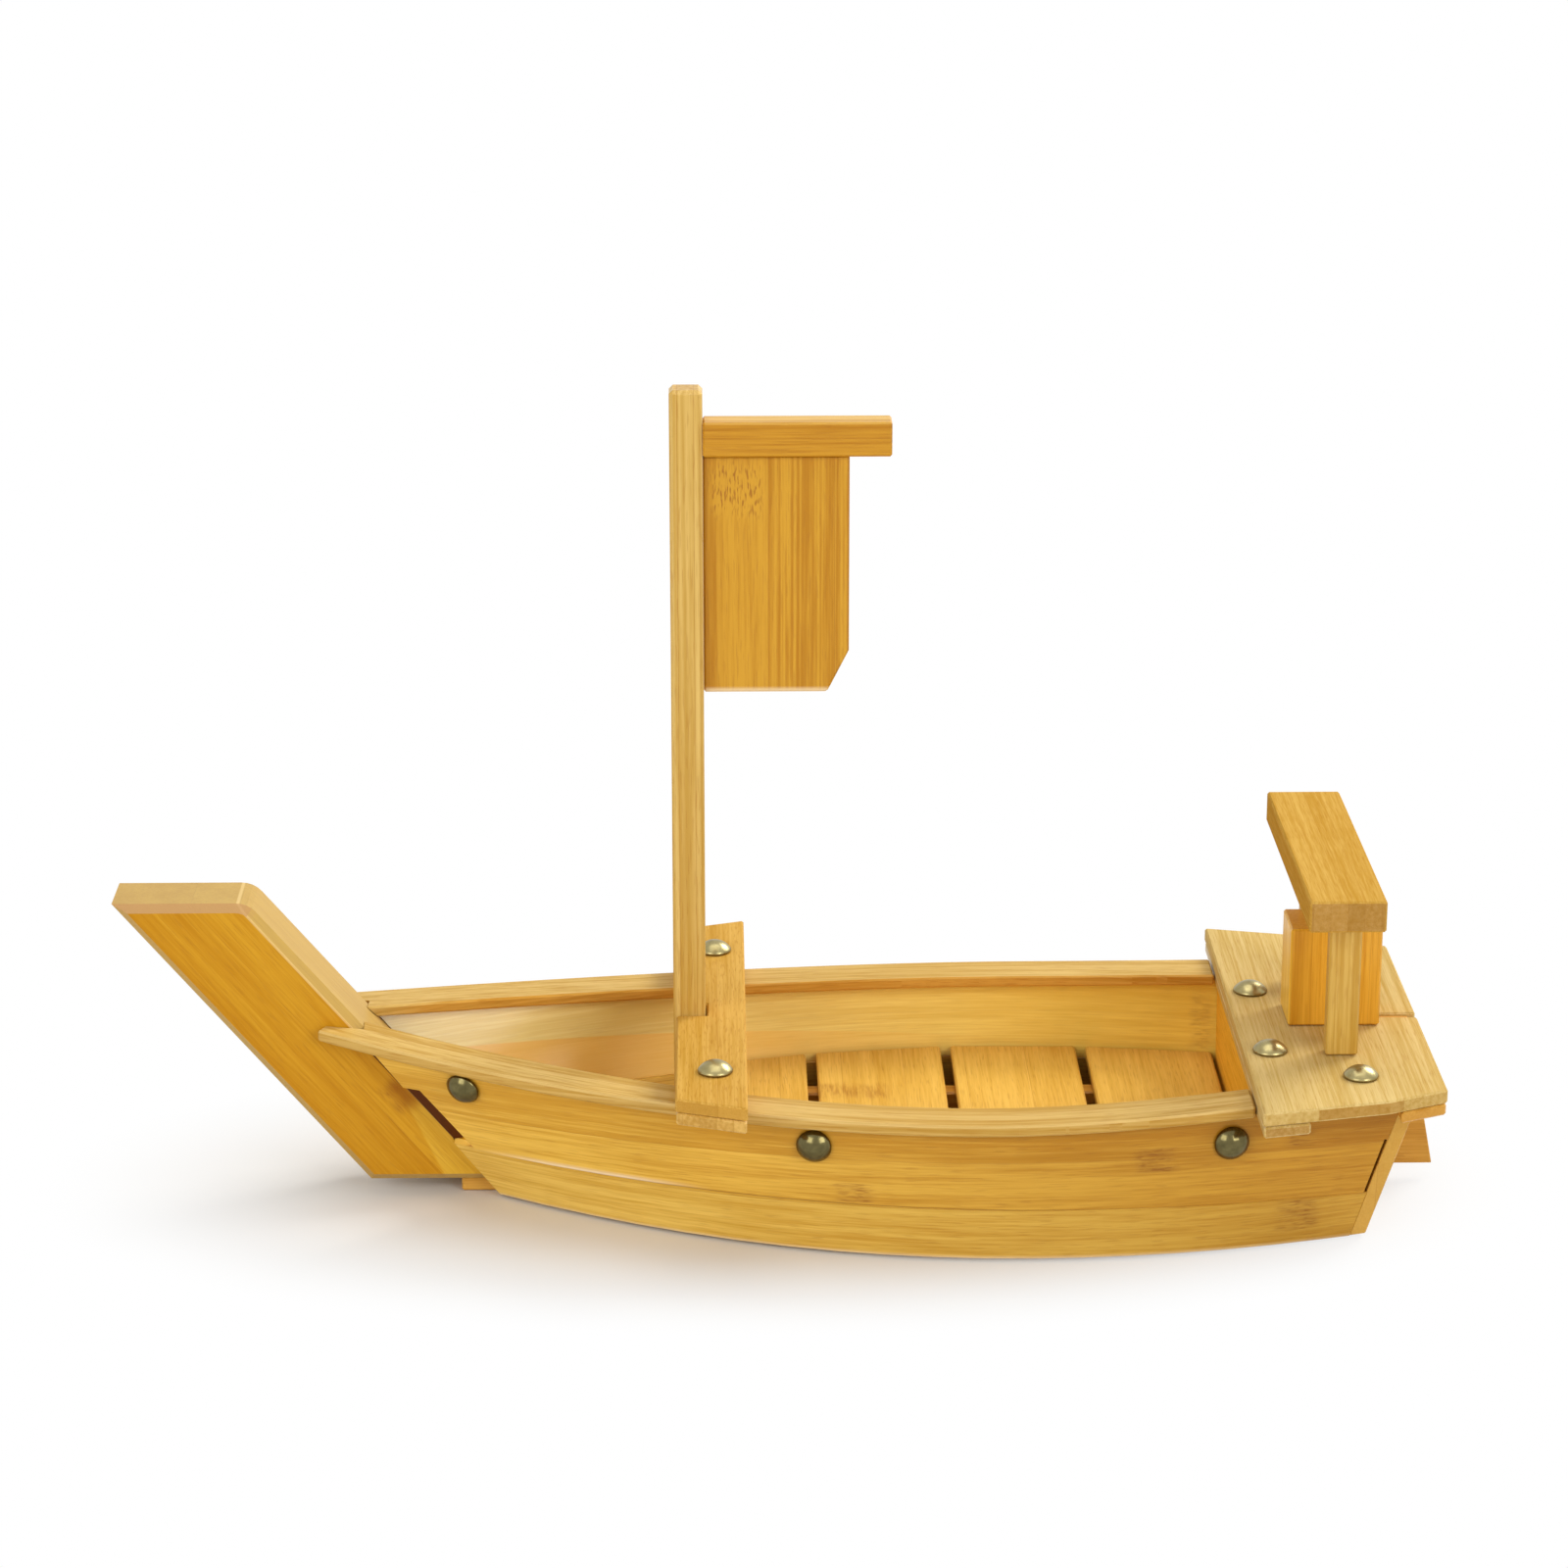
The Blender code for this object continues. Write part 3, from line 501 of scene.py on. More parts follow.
        shader = g.node(
            "ShaderNodeBsdfPrincipled",
            None,
            {
                "Base Color": colour,
                "Roughness": shade.ramp(0.0, 1.0, *rough),
                "Specular IOR Level": self.specular,
                "Coat Weight": self.gloss(place, facing),
                "Coat Roughness": self.coat_roughness,
                "Coat IOR": self.coat_ior,
                "Normal": bump,
            },
        )
        return g.surface(shader)

    def turned(self, g: Graph, what: str, turn: float) -> Axes:
        """A place or a direction on the piece, by axis.

        Args:
            g: The graph.
            what: The texture coordinate.
            turn: Turn about the beam axis, in radians.

        Returns:
            Its parts along the axes.
        """
        spot = g.node("ShaderNodeTexCoord", out=what)
        if turn:
            spot = g.node("ShaderNodeMapping", None, {"Vector": spot, "Rotation": (0, turn, 0)})
        return g.split(spot)

    def knot_patches(
        self, g: Graph, along: Wire, across: Wire, seed: float, knots: Sequence[Knot]
    ) -> tuple[Wire, Wire]:
        """Patches of the culm joints, with ragged ends.

        Args:
            g: The graph.
            along: Place along the grain.
            across: Place across the grain.
            seed: Where in the pattern this piece is cut from.
            knots: The joints.

        Returns:
            How far each point is inside a patch, and how stained it is.
        """
        ragged = (g.noise(g.point(across * self.ragged_rate, seed, 0.0), 1.0) - 0.5) * self.ragged
        patches, stains = along * 0.0, along * 0.0
        for knot in knots:
            length = abs((along - knot.along) / knot.half_length + ragged).ramp(*self.knot_length)
            width = abs((across - knot.across) / knot.half_width).ramp(*self.knot_width)
            patches = patches.most(length * width * knot.depth)
            stains = stains.most(length * width * knot.stain)
        return patches, stains

    def stains_and_light(self, g: Graph, colour: Wire, place: Axes, facing: Axes) -> Wire:
        """Colour with its real stains, and with painted light and shade where a finish has them.

        Args:
            g: The graph.
            colour: The colour before.
            place: Place on the piece, by axis.
            facing: Direction that the surface faces, by axis.

        Returns:
            The colour.
        """
        return colour

    def gloss(self, place: Axes, facing: Axes) -> Number:
        """Weight of the varnish.

        Args:
            place: Place on the piece, by axis.
            facing: Direction that the surface faces, by axis.

        Returns:
            The weight.
        """
        return self.coat


@dataclass(frozen=True)
class StemFinish(BambooFinish):
    """Bamboo with paler rims, a stained top chamfer and a painted edge highlight, for a board on
    edge.

    Shade is painted into the joint with the planks. A pale strip beside them widens downwards,
    and a brown smear lies at the culm joint. Along and across follow the board.
    """

    rim: Colour = (0.49, 0.385, 0.155)
    rim_turn: Span = (0.97, 0.80)
    rim_share: float = 0.55
    # painted highlight along the edge of the aft chamfer
    border_highlight: Colour = (0.80, 0.58, 0.24)
    border_across: float = -0.0669
    border_half: Span = (0.0005, 0.0002)
    border_share: float = 0.6
    stain: Colour = (0.50, 0.27, 0.11)
    stain_slope: Span = (0.45, 0.62)
    stain_turn: Span = (0.30, 0.55)
    stain_share: float = 0.75
    # painted shade in the joint with the planks
    painted_shade: Colour = (0.100, 0.028, 0.004)
    joint_across: float = -0.0674
    joint_blend: float = 0.0003
    joint_low: float = 0.0193
    joint_low_blend: float = 0.0004
    joint_step: float = 0.0376
    joint_step_out: float = 0.0007
    joint_high: float = 0.0556
    joint_high_blend: float = 0.0006
    joint_depth: Span = (0.0085, 0.0095)
    smear: Colour = (0.32, 0.105, 0.004)
    smear_along: float = -0.1043
    smear_half_along: float = 0.0080
    smear_fade_along: Span = (1.0, 0.3)
    smear_across: float = -0.0690
    smear_half_across: float = 0.0042
    smear_fade_across: Span = (1.0, 0.2)
    smear_share: float = 0.70
    strip_tone: Colour = (1.11, 1.29, 2.2)
    strip_across: float = -0.0710
    strip_blend: float = 0.0008
    strip_top: float = 0.0323
    strip_fade: float = 0.0040
    strip_spread: float = 0.283

    def stains_and_light(self, g: Graph, colour: Wire, place: Axes, facing: Axes) -> Wire:
        """Paler rims and strip, brown under the top, a painted edge highlight and painted joint
        shade.
        """
        height = g.split(g.node("ShaderNodeTexCoord", out="Object"))["Z"]
        upward = g.split(g.node("ShaderNodeTexCoord", out="Normal"))["Z"]
        across, sideways = place["Z"], abs(facing["Y"])
        pale = g.mix(self.rim_share, colour, self.rim)
        within = across - (height - self.strip_top) * self.strip_spread
        pale_strip = within.ramp(self.strip_across, self.strip_across + self.strip_blend)
        pale_strip = pale_strip * height.ramp(
            self.strip_top + self.strip_fade, self.strip_top - self.strip_fade
        )
        colour = g.mix(pale_strip, colour, self.strip_tone, "MULTIPLY")
        smear_along = abs((place["X"] - self.smear_along) / self.smear_half_along)
        smear_across = abs((across - self.smear_across) / self.smear_half_across)
        smear = smear_along.ramp(*self.smear_fade_along)
        smear = smear * smear_across.ramp(*self.smear_fade_across)
        colour = g.mix(smear * self.smear_share, colour, self.smear)
        colour = g.mix(sideways.ramp(*self.rim_turn), colour, pale)
        # Painted highlight along the edge of the aft chamfer.
        border_highlight = abs(across - self.border_across).ramp(*self.border_half)
        colour = g.mix(border_highlight * self.border_share, colour, self.border_highlight)
        stain = upward.ramp(*self.stain_slope) * sideways.ramp(*self.stain_turn)
        colour = g.mix(stain * self.stain_share, colour, self.stain)
        # Painted shade in the joint with the planks.
        return g.mix(self.joint(across, height, place["Y"]), colour, self.painted_shade)

    def joint(self, across: Wire, height: Wire, beam: Wire) -> Wire:
        """How far a point lies in the joint, which steps outwards above the lower plank.

        Args:
            across: Place across the board.
            height: Height above the table.
            beam: Place across the boat.

        Returns:
            1 in the joint, 0 outside it.
        """
        step = height.ramp(
            self.joint_step, self.joint_step + self.joint_high_blend, 0.0, self.joint_step_out
        )
        aft = (across + step).ramp(self.joint_across, self.joint_across + self.joint_blend)
        above = height.ramp(self.joint_low, self.joint_low + self.joint_low_blend)
        below = height.ramp(self.joint_high + self.joint_high_blend, self.joint_high)
        return above * below * aft * abs(beam).ramp(*self.joint_depth)


@dataclass(frozen=True)
class RailFinish(BambooFinish):
    """Bamboo with painted warm shade on faces that look inboard, and a painted outer-edge
    highlight.
    """

    # painted warm shade on the faces that look inboard
    inner: Colour = (1.0, 0.80, 0.48)
    inner_span: Span = (-0.006, -0.014)
    # painted highlight along the outer edge
    edge: Colour = (0.80, 0.585, 0.250)
    edge_width: Span = (0.0010, 0.0006)
    edge_share: float = 0.55
    # painted shade on the faces that look up
    tints: Sequence[Tint] = (Tint("Z", 1.0, (0.965, 0.955, 0.93)),)

    def stains_and_light(self, g: Graph, colour: Wire, place: Axes, facing: Axes) -> Wire:
        """Painted warm shade on the upright inner faces, and a painted highlight along the outer
        edge.
        """
        inboard = (facing["Y"] * place["Y"]).ramp(*self.inner_span)
        above = Tint("Z", 1.0, self.edge).over(facing)
        edge = Bend().inward(place["X"], place["Y"]).ramp(*self.edge_width) * above
        colour = g.mix(edge * self.edge_share, colour, self.edge)
        return g.mix(inboard, colour, self.inner, "MULTIPLY")


@dataclass(frozen=True)
class EdgeLine:
    """A line along an edge, which may slope along the boat; most are painted highlights and shade.

    It lies above a base height, and fades out towards its start and its end.
    """

    base: float
    slope: float
    width: float
    start: float
    end: float
    depth: float
    # pale, as for a painted highlight
    colour: Colour = (0.92, 0.74, 0.52)
    fade: Span = (1.0, 0.2)


@dataclass(frozen=True)
class PaintedLightAndBands:
    """Painted light along a plank's face from bow to stern, and the lines along its edges."""

    # painted light: factors that make a face paler towards the bow and darker towards the stern
    bow: Colour = (1.33, 1.50, 1.95)
    stern: Colour = (0.88, 0.83, 0.66)
    bow_x: float = -0.12
    stern_x: float = 0.18
    edge_lines: Sequence[EdgeLine] = ()

    def on(self, g: Graph, colour: Wire, place: Axes) -> Wire:
        """Paint the light and the lines into a colour.

        Args:
            g: The graph.
            colour: The colour before.
            place: Place on the piece, by axis.

        Returns:
            The colour.
        """
        aft = place["X"].ramp(self.bow_x, self.stern_x)
        colour = g.mix(1.0, colour, g.mix(aft, self.bow, self.stern), "MULTIPLY")
        for edge_line in self.edge_lines:
            middle, half = (edge_line.start + edge_line.end) / 2, (edge_line.end - edge_line.start) / 2
            length = abs((place["X"] - middle) / half).ramp(*edge_line.fade)
            height = (place["Z"] - place["X"] * edge_line.slope).ramp(edge_line.base + edge_line.width, edge_line.base)
            colour = g.mix(length * height * edge_line.depth, colour, edge_line.colour)
        return colour


@dataclass(frozen=True)
class PlankFinish(BambooFinish):
    """Bamboo with painted light outside, and a painted paler sheen and more gloss inside."""

    outside: PaintedLightAndBands = PaintedLightAndBands()
    inside: Optional[PaintedLightAndBands] = None
    # painted sheen that makes the inner face paler
    inner_gain: Colour = (1.45, 2.0, 4.2)
    inner_tint: Colour = (0.95, 0.66, 0.14)
    inner_share: float = 0.45
    inner_coat: float = 0.7
    inner_span: Span = (-0.002, -0.006)

    def stains_and_light(self, g: Graph, colour: Wire, place: Axes, facing: Axes) -> Wire:
        """Painted light on each face in its own way."""
        outer = self.outside.on(g, colour, place)
        if self.inside is None:
            return outer
        # Painted paler sheen on the inner face.
        paler = g.mix(1.0, colour, self.inner_gain, "MULTIPLY")
        lined = g.mix(self.inner_share, paler, self.inner_tint)
        return g.mix(self.inboard(place, facing), outer, self.inside.on(g, lined, place))

    def gloss(self, place: Axes, facing: Axes) -> Number:
        """More varnish inside."""
        if self.inside is None:
            return self.coat
        return self.inboard(place, facing).ramp(0.0, 1.0, self.coat, self.inner_coat)

    def inboard(self, place: Axes, facing: Axes) -> Wire:
        """How far the surface looks towards the boat's middle."""
        return (facing["Y"] * place["Y"]).ramp(*self.inner_span)


@dataclass(frozen=True)
class BronzeFinish:
    """Antique bronze, with a thin patina in soft blotches."""

    bright: Colour
    dull: Colour
    roughness: float
    dull_rougher: float = 0.10
    blotch_rate: float = 420.0
    blotch_rough: float = 0.62
    blotch_span: Span = (0.10, 0.90)
    dull_span: Span = (0.3, 0.7)
    pit_rate: float = 2600.0
    pit_share: float = 0.25
    relief: float = 0.0002
    relief_strength: float = 0.06

    def material(self, name: str) -> bpy.types.Material:
        """Make the finish."""
        g = Graph(bpy.data.materials.new(name))
        place = g.node("ShaderNodeTexCoord", out="Object")
        scaled = g.node(
            "ShaderNodeVectorMath", {"operation": "SCALE"}, {0: place, "Scale": self.blotch_rate}
        )
        blotch = g.noise(scaled, 4.0, self.blotch_rough)
        pits = g.node(
            "ShaderNodeTexNoise", None, {"Vector": place, "Scale": self.pit_rate, "Detail": 2.0}
        )
        colour = g.mix(blotch.ramp(*self.blotch_span), self.dull, self.bright)
        dullest = self.roughness + self.dull_rougher
        rough = blotch.ramp(*self.dull_span, dullest, self.roughness)
        height = blotch + pits * self.pit_share
        bump = g.node(
            "ShaderNodeBump",
            None,
            {"Strength": self.relief_strength, "Distance": self.relief, "Height": height},
        )
        sockets = {"Base Color": colour, "Metallic": 1.0, "Roughness": rough, "Normal": bump}
        return g.surface(g.node("ShaderNodeBsdfPrincipled", None, sockets))


GOLD = BambooFinish(pale=(0.72, 0.39, 0.070), deep=(0.53, 0.235, 0.022))
STRAW = BambooFinish(
    pale=(0.80, 0.53, 0.185),
    deep=(0.60, 0.34, 0.070),
    strip=0.0052,
    strip_contrast=0.42,
    streak=0.0026,
    line_contrast=0.9,
    seam_depth=0.16,
)
AMBER = BambooFinish(pale=(0.68, 0.33, 0.045), deep=(0.49, 0.195, 0.012), line_contrast=0.8)
HONEY = BambooFinish(pale=(0.80, 0.45, 0.105), deep=(0.60, 0.295, 0.040))


def dress(name: str, finish: BambooFinish, grain: Grain, **settings: object) -> None:
    """Give a solid its own cut of a bamboo finish.

    Args:
        name: The solid's name.
        finish: The finish.
        grain: Which way its grain runs.
        settings: What else the finish takes, such as its seed and knots.
    """
    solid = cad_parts[name]
    solid.material_slots[0].material = finish.material(name + "_bamboo", grain, **settings)
    LOG.info("%s: dressed, grain %s", name, grain.name.lower())


def new_piece(
    name: str, shape: bmesh.types.BMesh, body: str, slot: str, *replaced: str
) -> bpy.types.Object:
    """Turn a shape into a piece of the boat.

    Args:
        name: The piece's name.
        shape: Its mesh, which is freed.
        body: The body that it moves with.
        slot: The record's material slot; not used.
        replaced: The solids that it stands for.

    Returns:
        The piece.
    """
    mesh = bpy.data.meshes.new(name)
    shape.to_mesh(mesh)
    shape.free()
    piece = bpy.data.objects.new(name, mesh)
    bpy.context.scene.collection.objects.link(piece)
    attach(piece, body)
    if replaced:
        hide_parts(*replaced)
    LOG.info("%s: %d faces, on %s", name, len(mesh.polygons), body)
    return piece


@dataclass(frozen=True)
class Press:
    """An edge that is pressed onto its neighbour, over the gap between their solids.

    The edge lies in a plane, given by a point and a direction square to it, and within a
    distance of the boat's middle.
    """

    point: Point
    square: Point
    shift: Point
    reach: float = 0.0006
    within: float = 1.0

    def move(self, shape: bmesh.types.BMesh) -> None:
        """Move the edge's corners."""
        square = Vector(self.square).normalized()
        near = [
            v
            for v in shape.verts
            if abs((v.co - Vector(self.point)) @ square) < self.reach and abs(v.co.y) < self.within
        ]
        bmesh.ops.translate(shape, vec=self.shift, verts=near)


@dataclass
class SmoothBoard:
    """A smoothly shaded stand-in for a board's solid."""

    name: str
    slot: str
    finish: BambooFinish
    grain: Grain
    settings: Mapping[str, object]
    body: str = "hull"
    crease: float = math.radians(25)

    def build(self, *presses: Press) -> None:
        """Merge a copy of the solid, shade it smoothly and dress it.

        Args:
            presses: The edges that are pressed onto their neighbours.
        """
        shape = bmesh.new()
        shape.from_mesh(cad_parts[self.name].data)
        bmesh.ops.remove_doubles(shape, verts=shape.verts, dist=MERGE_DISTANCE)
        bmesh.ops.recalc_face_normals(shape, faces=shape.faces)
        for press in presses:
            press.move(shape)
        for face in shape.faces:
            face.smooth = True
        for edge in shape.edges:
            edge.smooth = edge.calc_face_angle(math.pi) < self.crease
        piece = new_piece(self.name + "_board", shape, self.body, self.slot, self.name)
        even = piece.modifiers.new("even_shading", "WEIGHTED_NORMAL")
        even.keep_sharp = True
        name = self.name + "_bamboo"
        piece.data.materials.clear()
        piece.data.materials.append(self.finish.material(name, self.grain, **self.settings))


@dataclass
class Hull:
    """Planks, rails, stem, keel board and the boards across the hold."""

    stem_rake: float = math.atan2(0.0935, 0.0787)
    transom_rake: float = math.radians(17.5)
    transom_front: Point = (0.1768, 0.0, 0.001)
    seam_z: float = 0.01844
    seam_slope: float = -0.01308
    closing: float = 0.00015
    notch_wall: Point = (0.17936, 0.0, 0.01625)
    notch_shift: float = 0.0020
    notch_outer_share: float = 0.5
    notch_within: float = 0.0490
    bow_end: Point = (-0.1197, 0.0, 0.0402)
    bow_square: Point = (0.8, 0.0, 0.6)
    bow_shift: Point = (-0.0025, 0.0, 0.0)
    rail_crease: float = math.radians(12)
    plank_strip: float = 0.0250
    plank_band: Band = Band(0.0335, -0.16)
    burnt: Colour = (0.27, 0.095, 0.008)
    # painted shade in the seam between the planks
    painted_shade: Colour = (0.22, 0.085, 0.010)
    strip_light: Colour = (0.88, 0.50, 0.085)
    stem_knot: Knot = Knot(-0.1052, -0.0715, 0.0075, 0.0045, 0.40, 0.55)
    near_knots: Sequence[Knot] = (
        Knot(0.0219, 0.0220, 0.0080, 0.0040, 0.40, 0.45),
        Knot(0.1136, 0.0330, 0.0085, 0.0050, 0.50, 0.55),
        Knot(0.1593, 0.0380, 0.0070, 0.0045, 0.40, 0.40),
    )
    low_knots: Sequence[Knot] = (Knot(0.1597, 0.0110, 0.0085, 0.0065, 0.40, 0.45),)
    far_knots: Sequence[Knot] = (Knot(0.1410, 0.0320, 0.0050, 0.0130, 0.55, 0.65),)

    def dress(self) -> None:
        """Dress the hull's boards."""
        self.planks()
        matt = {"specular": 0.02, "coat": 0.12}
        straw = STRAW.toned(0.84, 0.845, 0.74, tints=RailFinish.tints, **matt)
        rail = RailFinish(**vars(straw))
        for i, side in enumerate(SIDES):
            settings = {"seed": 6.1 + 1.9 * i, "bend": Bend()}
            name = f"gunwale_rail_{side}"
            board = SmoothBoard(
                name, "pale_bamboo", rail, Grain.FLAT, settings, crease=self.rail_crease
            )
            board.build()
        dress(
            "stem_post",
            StemFinish(
                pale=(0.655, 0.335, 0.020),
                deep=(0.491, 0.202, 0.0055),
                fibre_contrast=0.9,
                streak=0.0060,
                specular=0.03,
                coat=0.15,
            ),
            Grain.LENGTH,
            seed=8.3,
            turn=-self.stem_rake,
            shift=0.004,
            knots=(self.stem_knot,),
        )
        dress("bottom_board", GOLD, Grain.FLAT, seed=9.4)
        edge = {"end_dark": (0.92, 0.92, 0.88), "end_light": WHITE}
        dress("transom", GOLD.toned(0.94, 1.03, 1.12, **edge), Grain.BEAM, seed=10.2)
        dull = {"specular": 0.0, "coat": 0.0}
        dress("stern_bulkhead", HONEY.toned(1.06, 1.01, 0.45, **dull), Grain.BEAM, seed=11.6)

    def planks(self) -> None:
        """Dress the planks, and close their seams and their ends."""
        # Painted highlight and shade at the seam, painted highlight along the foot, a strip edge
        # inside.
        seam_highlight = EdgeLine(self.seam_z, self.seam_slope, 0.0022, -0.100, -0.020, 0.85)
        foot_highlight = EdgeLine(0.0008, 0.0, 0.0016, -0.30, 0.30, 0.55)
        strip_rub = EdgeLine(0.0294, -0.0785, 0.0006, -0.30, 0.10, 0.75, self.strip_light)
        seam_shade = EdgeLine(self.seam_z, self.seam_slope, 0.0006, -0.105, 0.150, 0.75, self.painted_shade)
        aged = {"burnt": self.burnt, "pore_depth": 0.20}
        upper = PlankFinish(
            pale=(0.634, 0.343, 0.039),
            deep=(0.449, 0.198, 0.0113),
            strip=self.plank_strip,
            streak_contrast=1.30,
            **aged,
            # painted light: paler towards the bow outside, and a painted whitish sheen at the bow
            # inside
            outside=PaintedLightAndBands(bow=(1.36, 1.56, 2.15), edge_lines=(seam_highlight, seam_shade)),
            inside=PaintedLightAndBands(bow=(1.02, 1.20, 2.20), stern=(1.0, 0.97, 0.62), edge_lines=(strip_rub,)),
        )
        lower = PlankFinish(
            pale=(0.665, 0.400, 0.065),
            deep=(0.490, 0.241, 0.021),
            streak_contrast=1.25,
            **aged,
            outside=PaintedLightAndBands(edge_lines=(foot_highlight,)),
        )
        knots = {"port": self.near_knots, "starboard": self.far_knots}
        seam = ((0.0, 0.0, self.seam_z), (-self.seam_slope, 0.0, 1.0))
        down, up = (0.0, 0.0, -self.closing), (0.0, 0.0, self.closing)
        aft = Vector((math.cos(self.transom_rake), 0.0, -math.sin(self.transom_rake)))
        end = Press(self.transom_front, aft, aft * 2 * self.closing)
        inner = Press(self.notch_wall, aft, aft * self.notch_shift, within=self.notch_within)
        outer = Press(self.notch_wall, aft, aft * self.notch_shift * self.notch_outer_share)
        bow = Press(self.bow_end, self.bow_square, self.bow_shift)
        extra = {"port": (inner, outer), "starboard": (inner, outer, bow)}
        for i, side in enumerate(SIDES):
            settings = {
                "seed": 1.3 + 2.1 * i,
                "shift": 0.0085,
                "knots": knots[side],
                "bands": (self.plank_band,),
            }
            name, slot = f"upper_strake_{side}", "honey_bamboo"
            board = SmoothBoard(name, slot, upper, Grain.PLANK, settings)
            board.build(Press(*seam, down), end, *extra[side])
            settings = {"seed": 4.2 + 1.7 * i, "shift": -0.003, "knots": self.low_knots}
            name = f"lower_strake_{side}"
            board = SmoothBoard(name, slot, lower, Grain.PLANK, settings)
            board.build(Press(*seam, up), end)


@dataclass
class SternDeck:
    """Deck board and the strips under it."""

    strip: float = 0.0268
    front_seam: float = 0.1615
    aft_seam: float = 0.1883
    end_dark: Colour = (0.70, 0.54, 0.34)

    def dress(self) -> None:
        """Dress the deck's boards."""
        straw = STRAW.toned(0.835, 0.925, 1.06, strip=self.strip, end_dark=self.end_dark)
        soft = {"line_contrast": 0.7, "specular": 0.0, "coat": 0.05}
        deck = replace(straw, fibre=0.00055, fibre_contrast=1.1, streak_contrast=0.75, **soft)
        ends = (Band(0.0, 0.4), Band(self.front_seam, -0.8), Band(self.aft_seam, 0.6))
        dress("stern_deck", deck, Grain.BEAM, seed=13.1, shift=self.front_seam, ends=ends)
        dress("deck_batten_front", straw, Grain.BEAM, seed=14.7)
        for i, side in enumerate(SIDES):
            dress(f"deck_batten_aft_{side}", GOLD, Grain.BEAM, seed=15.2 + i)
            dress(f"deck_side_strip_{side}", GOLD, Grain.LENGTH, seed=17.4 + i)


@dataclass
class ServingFloor:
    """Slats and the bearers under them."""

    slats: int = 4
    stained_slat: int = 2
    stain: Knot = Knot(0.0218, 0.0230, 0.0085, 0.0145, 0.0, 0.60)

    def dress(self) -> None:
        """Dress the floor."""
        finish = HONEY.toned(1.02, 1.09, 0.87, pore_depth=0.26, fibre_contrast=1.0)
        for i in range(1, self.slats + 1):
            knots = (self.stain,) if i == self.stained_slat else ()
            dress(f"floor_slat_{i}", finish, Grain.BEAM, seed=20.0 + 1.3 * i, knots=knots)
        for i, side in enumerate(SIDES):
            dress(f"floor_bearer_{side}", AMBER, Grain.LENGTH, seed=26.0 + i)


@dataclass
class MastBeam:
    """The beam that holds the mast, and the step under it."""

    def dress(self) -> None:
        """Dress the beam and the step."""
        pores = {"pore_depth": 0.30, "pore_length": 0.0045}
        finish = HONEY.toned(0.83, 0.86, 0.81, specular=0.0, coat=0.08, **pores)
        dress("mast_thwart", finish, Grain.BEAM, seed=30.1)
        dress("thwart_doubler", STRAW.toned(0.95, 0.92, 0.75), Grain.BEAM, seed=31.7)
        dress("mast_step", AMBER, Grain.LENGTH, seed=32.9)


@dataclass
class Rig:
    """Mast, yard and sail."""

    seam_x: float = -0.0040
    mast_seam: float = -0.0320
    mast_edge: Sequence[Band] = (Band(-0.0600, -0.16), Band(-0.0320, 0.16))
    # painted shadow of the mast on the sail
    sail_mast_shadow: Sequence[Band] = (Band(-0.0236, -0.40), Band(-0.0201, 0.40))
    sail_knot: Knot = Knot(0.2297, -0.0140, 0.0110, 0.0098, 1.35)
    sail_foot: float = 0.1650
    # painted highlight along the sail's foot
    sail_foot_highlight: Colour = (0.84, 0.65, 0.38)
    # painted highlight on the yard's upper faces
    yard_top_highlight: Tint = Tint("Z", 1.0, (1.16, 1.44, 3.00))
    gap: float = 0.00027

    def dress(self) -> None:
        """Dress the rig, with the yard and the sail close against the mast."""
        lined = {"line_contrast": 1.1, "fibre_contrast": 0.8, "seam_depth": 0.40}
        mast = STRAW.toned(0.885, 0.895, 0.74, **lined)
        cut = {"shift": self.mast_seam, "bands": self.mast_edge}
        dress("mast", mast, Grain.HEIGHT, seed=40.2, **cut)
        yard = AMBER.toned(0.845, 0.83, 0.42, tints=(self.yard_top_highlight,))
        gold = GOLD.toned(0.865, 0.82, 0.36, line=0.0009, line_contrast=1.9)
        foot = EdgeLine(self.sail_foot, 0.0, 0.0018, -0.30, 0.30, 0.9, self.sail_foot_highlight)
        even = PaintedLightAndBands(WHITE, WHITE, edge_lines=(foot,))
        sail = PlankFinish(**{**vars(gold), "lined_from": self.seam_x}, outside=even)
        sail_settings = {
            "seed": 42.8,
            "shift": self.seam_x,
            "knots": (self.sail_knot,),
            "bands": self.sail_mast_shadow,
        }
        close = Press((0, 0, 0), (1, 0, 0), (-self.gap, 0, 0), reach=1.0)
        for name, finish, grain, settings in (
            ("yard", yard, Grain.LENGTH, {"seed": 41.4}),
            ("sail", sail, Grain.HEIGHT, sail_settings),
        ):
            board = SmoothBoard(name, "amber_bamboo", finish, grain, settings, "mast_rig")
            board.build(close)


@dataclass
class Rudder:
    """Rudder head and blade."""

    head_strip: float = 0.0062
    # painted light on the face that looks towards the bow
    head_side_lit: Tint = Tint("X", -1.0, (1.08, 1.28, 1.75))

    def dress(self) -> None:
        """Dress the rudder."""
        even = {"line_contrast": 0.35, "streak_contrast": 0.5, "pore_depth": 0.12}
        strips = {"strip": self.head_strip, "strip_contrast": 0.2}
        head = AMBER.toned(1.20, 1.29, 0.94, tints=(self.head_side_lit,), **strips, **even)
        dress("rudder_head", head, Grain.HEIGHT, seed=50.3)
        dress("rudder_blade", HONEY.toned(0.82, 0.76, 0.50), Grain.LENGTH, seed=51.9)


